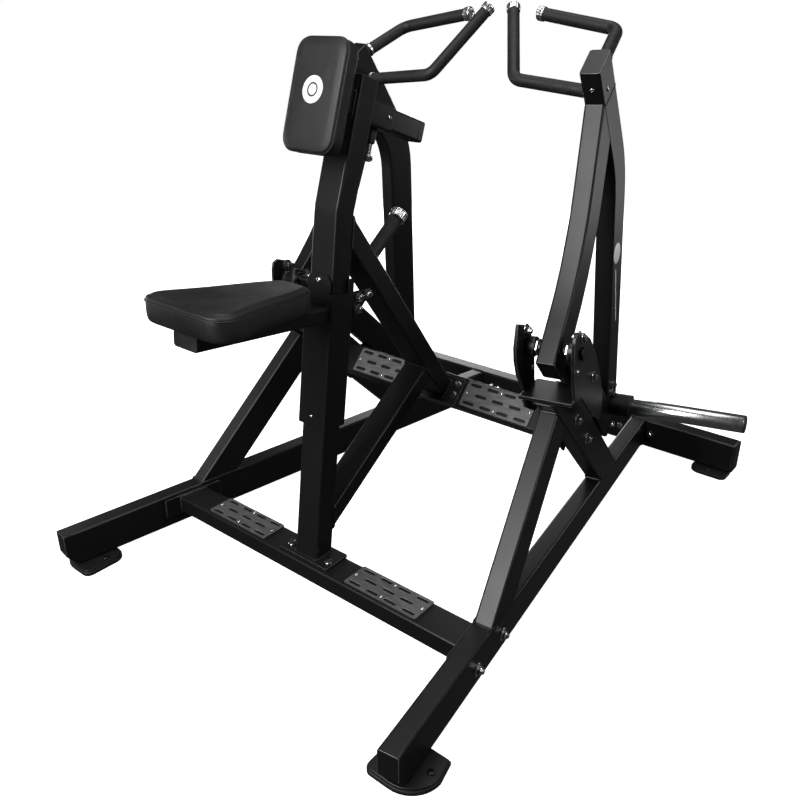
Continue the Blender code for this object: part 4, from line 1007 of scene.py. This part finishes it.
LEG_W = 0.050
FRONT_LEG_D = 0.092
REAR_LEG_D = 0.102
REAR_LEG_REACH = 0.932
FRONT_LEG_TILT = math.radians(45.8)
REAR_LEG_TILT = math.radians(44.0)


def rear_leg_point(down, reach):
    """Point in the rear leg's plane: distance down the leg, and square to it."""
    cosine, sine = math.cos(REAR_LEG_TILT), math.sin(REAR_LEG_TILT)
    return side(cosine * down + sine * reach, -sine * down + cosine * reach)


def side_welds(bm):
    """Beads of one side frame."""
    front_dir = side_dir(math.cos(FRONT_LEG_TILT), math.sin(FRONT_LEG_TILT))
    half = FRONT_LEG_D / 2
    front_foot = side(0.420 + half * math.sin(FRONT_LEG_TILT), -half * math.cos(FRONT_LEG_TILT))
    rear_dir = side_dir(-math.cos(REAR_LEG_TILT), math.sin(REAR_LEG_TILT))
    rear_normal = side_dir(math.sin(REAR_LEG_TILT), math.cos(REAR_LEG_TILT))
    rear_mid = rear_leg_point(0.5, REAR_LEG_REACH - REAR_LEG_D / 2)
    lower = rear_leg_point(0.0, REAR_LEG_REACH - REAR_LEG_D)
    beam_top = Vector((0.0, 0.0, 0.118))
    rear_face = Vector((0.0, REAR_BEAM_Y + MIDDLE_SHIFT - 0.028, 0.0))
    weld(bm, front_foot, front_dir, OUTWARD, LEG_W, FRONT_LEG_D, beam_top, Z_AXIS)
    weld(bm, rear_mid, rear_dir, OUTWARD, LEG_W, REAR_LEG_D, beam_top, Z_AXIS)
    weld(bm, front_foot, front_dir, OUTWARD, LEG_W, FRONT_LEG_D, lower, rear_normal)
    weld(bm, rear_mid, rear_dir, OUTWARD, LEG_W, REAR_LEG_D, side(0.0, 0.422), UPWARD)
    weld(bm, BEAM_FRONT - Z_AXIS * 0.05, ALONG, BEAM_SIDE, 0.050, 0.100, rear_face, Y_AXIS)


BRACE_TOP = mid(-0.2409, 0.950)
BRACE_DIR = (BRACE_TOP - mid(0.1668, 0.3971)).normalized()
BRACE_D = 0.054
CENTRE_W = 0.076
STRUT_TILT = math.radians(34.3)


def centre_welds(bm):
    """Beads of the centre frame."""
    normal = Vector((0.0, BRACE_DIR.z, -BRACE_DIR.y))
    back = POST_FOOT - POST_FORWARD * 0.02975
    flange = mid(STEP_Y, STEP_Z) + STEP_UP * 0.0313
    strut = Vector((0.0, math.cos(STRUT_TILT), math.sin(STRUT_TILT)))
    strut_foot = mid(-0.2000, 0.2963)
    under_brace = BRACE_TOP - normal * (BRACE_D / 2)
    weld(bm, POST_FOOT, POST_DIR, X_AXIS, CENTRE_W, 0.0595, mid(0.0, 0.1113), Z_AXIS)
    weld(bm, BRACE_TOP, BRACE_DIR, X_AXIS, CENTRE_W, BRACE_D, flange, STEP_UP)
    weld(bm, BRACE_TOP, BRACE_DIR, X_AXIS, CENTRE_W, BRACE_D, back, -POST_FORWARD)
    weld(bm, strut_foot, strut, X_AXIS, CENTRE_W, 0.048, back, -POST_FORWARD)
    weld(bm, strut_foot, strut, X_AXIS, CENTRE_W, 0.048, under_brace, normal)


def arm_welds(bm):
    """Beads of one arm, and the joint line under its top block."""
    bead = [(0.0, 0.0172), (0.0014, 0.0198), (0.0030, 0.0190), (0.0042, 0.0164)]
    for way in (OUTWARD, -OUTWARD):
        turn(bm, PIVOT + way * 0.0248, way, bead, 48)
    weld(bm, TOP_END, TOP_DIR, OUTWARD, 0.0498, 0.0868, TOP_END - TOP_DIR * 0.092, TOP_DIR, 0.0011)


def arm_badge(bm):
    """Plain white disc on the rear tube."""
    turn(bm, side(1.203, 0.693, 0.0251), OUTWARD, [(-0.0010, 0.028), (0.0003, 0.028), (0.0004, 0.0277)], 56)


def arm_stripe(bm):
    """Plain narrow stripe under the disc."""
    start = side(1.200, 0.648, 0.0251)
    end = side(1.231, 0.495, 0.0251)
    down = (end - start).normalized()
    half = down.cross(OUTWARD) * 0.003
    outline = (start - half, start + half, end + half, end - half)
    skin(bm, [[corner + OUTWARD * t for corner in outline] for t in (-0.0010, 0.0003)])


both_sides("arm_badge", arm_badge, BADGE, ARMS)
both_sides("arm_stripe", arm_stripe, BADGE, ARMS)
both_sides("side_welds", side_welds, FINISHES["black_paint"])
both_sides("arm_welds", arm_welds, FINISHES["grey_paint"], ARMS)
one_piece("centre_welds", centre_welds, FINISHES["black_paint"], "frame")


# ---- stage and light -------------------------------------------------------
def make_stage():
    """Pale floor that stays out of the object's reflections."""
    mesh = bpy.data.meshes.new("floor")
    size = 30.0
    corners = [(-size, -size, 0.0), (size, -size, 0.0), (size, size, 0.0), (-size, size, 0.0)]
    mesh.from_pydata(corners, [], [(0, 1, 2, 3)])
    floor = bpy.data.objects.new("floor", mesh)
    bpy.context.scene.collection.objects.link(floor)
    made, _, shader = new_material("floor_white")
    shader.inputs["Base Color"].default_value = (0.90, 0.90, 0.90, 1.0)
    shader.inputs["Roughness"].default_value = 0.9
    shader.inputs["Specular IOR Level"].default_value = 0.0
    shader.inputs["Emission Color"].default_value = (1.0, 1.0, 1.0, 1.0)
    shader.inputs["Emission Strength"].default_value = 0.95
    mesh.materials.append(made)
    floor.visible_glossy = False
    floor.visible_diffuse = False


def area_light(name, place, target, size, power, tall=None):
    """Soft rectangular light."""
    data = bpy.data.lights.new(name, "AREA")
    data.shape = "RECTANGLE"
    data.size = size
    data.size_y = tall if tall is not None else size
    data.energy = power
    lamp = bpy.data.objects.new(name, data)
    bpy.context.scene.collection.objects.link(lamp)
    lamp.location = place
    lamp.visible_camera = False
    lamp.rotation_euler = (Vector(target) - Vector(place)).to_track_quat("-Z", "Y").to_euler()


def make_light():
    """White backdrop, a dim room and soft lamps around the machine."""
    world = bpy.data.worlds.new("world")
    world.use_nodes = True
    tree = world.node_tree
    room = tree.nodes["Background"]
    room.inputs["Color"].default_value = (1.0, 1.0, 1.0, 1.0)
    room.inputs["Strength"].default_value = 0.05
    backdrop = tree.nodes.new("ShaderNodeBackground")
    backdrop.inputs["Color"].default_value = (1.0, 1.0, 1.0, 1.0)
    backdrop.inputs["Strength"].default_value = 1.0
    rays = tree.nodes.new("ShaderNodeLightPath")
    mix = tree.nodes.new("ShaderNodeMixShader")
    tree.links.new(rays.outputs["Is Camera Ray"], mix.inputs["Fac"])
    tree.links.new(room.outputs["Background"], mix.inputs[1])
    tree.links.new(backdrop.outputs["Background"], mix.inputs[2])
    tree.links.new(mix.outputs["Shader"], tree.nodes["World Output"].inputs["Surface"])
    bpy.context.scene.world = world
    bpy.context.scene.view_settings.view_transform = "Standard"
    area_light("front_left", (-0.45, -4.3, 3.0), (0.3, -0.2, 0.7), 1.8, 300.0, 3.6)
    area_light("overhead", (0.0, 0.4, 4.4), (0.0, 0.0, 0.5), 2.6, 70.0)
    area_light("right", (3.6, 0.2, 2.6), (0.2, 0.0, 0.8), 1.4, 45.0, 1.6)
    area_light("back_low", (1.9, 3.2, 0.8), (0.4, 0.0, 1.0), 2.0, 14.0, 1.2)
    area_light("back_left", (-2.4, 3.7, 0.80), (0.0, 0.0, 0.7), 2.4, 60.0, 1.2)
    area_light("left", (-4.1, -0.4, 0.80), (0.0, 0.0, 0.7), 2.0, 45.0, 1.2)


make_stage()
make_light()
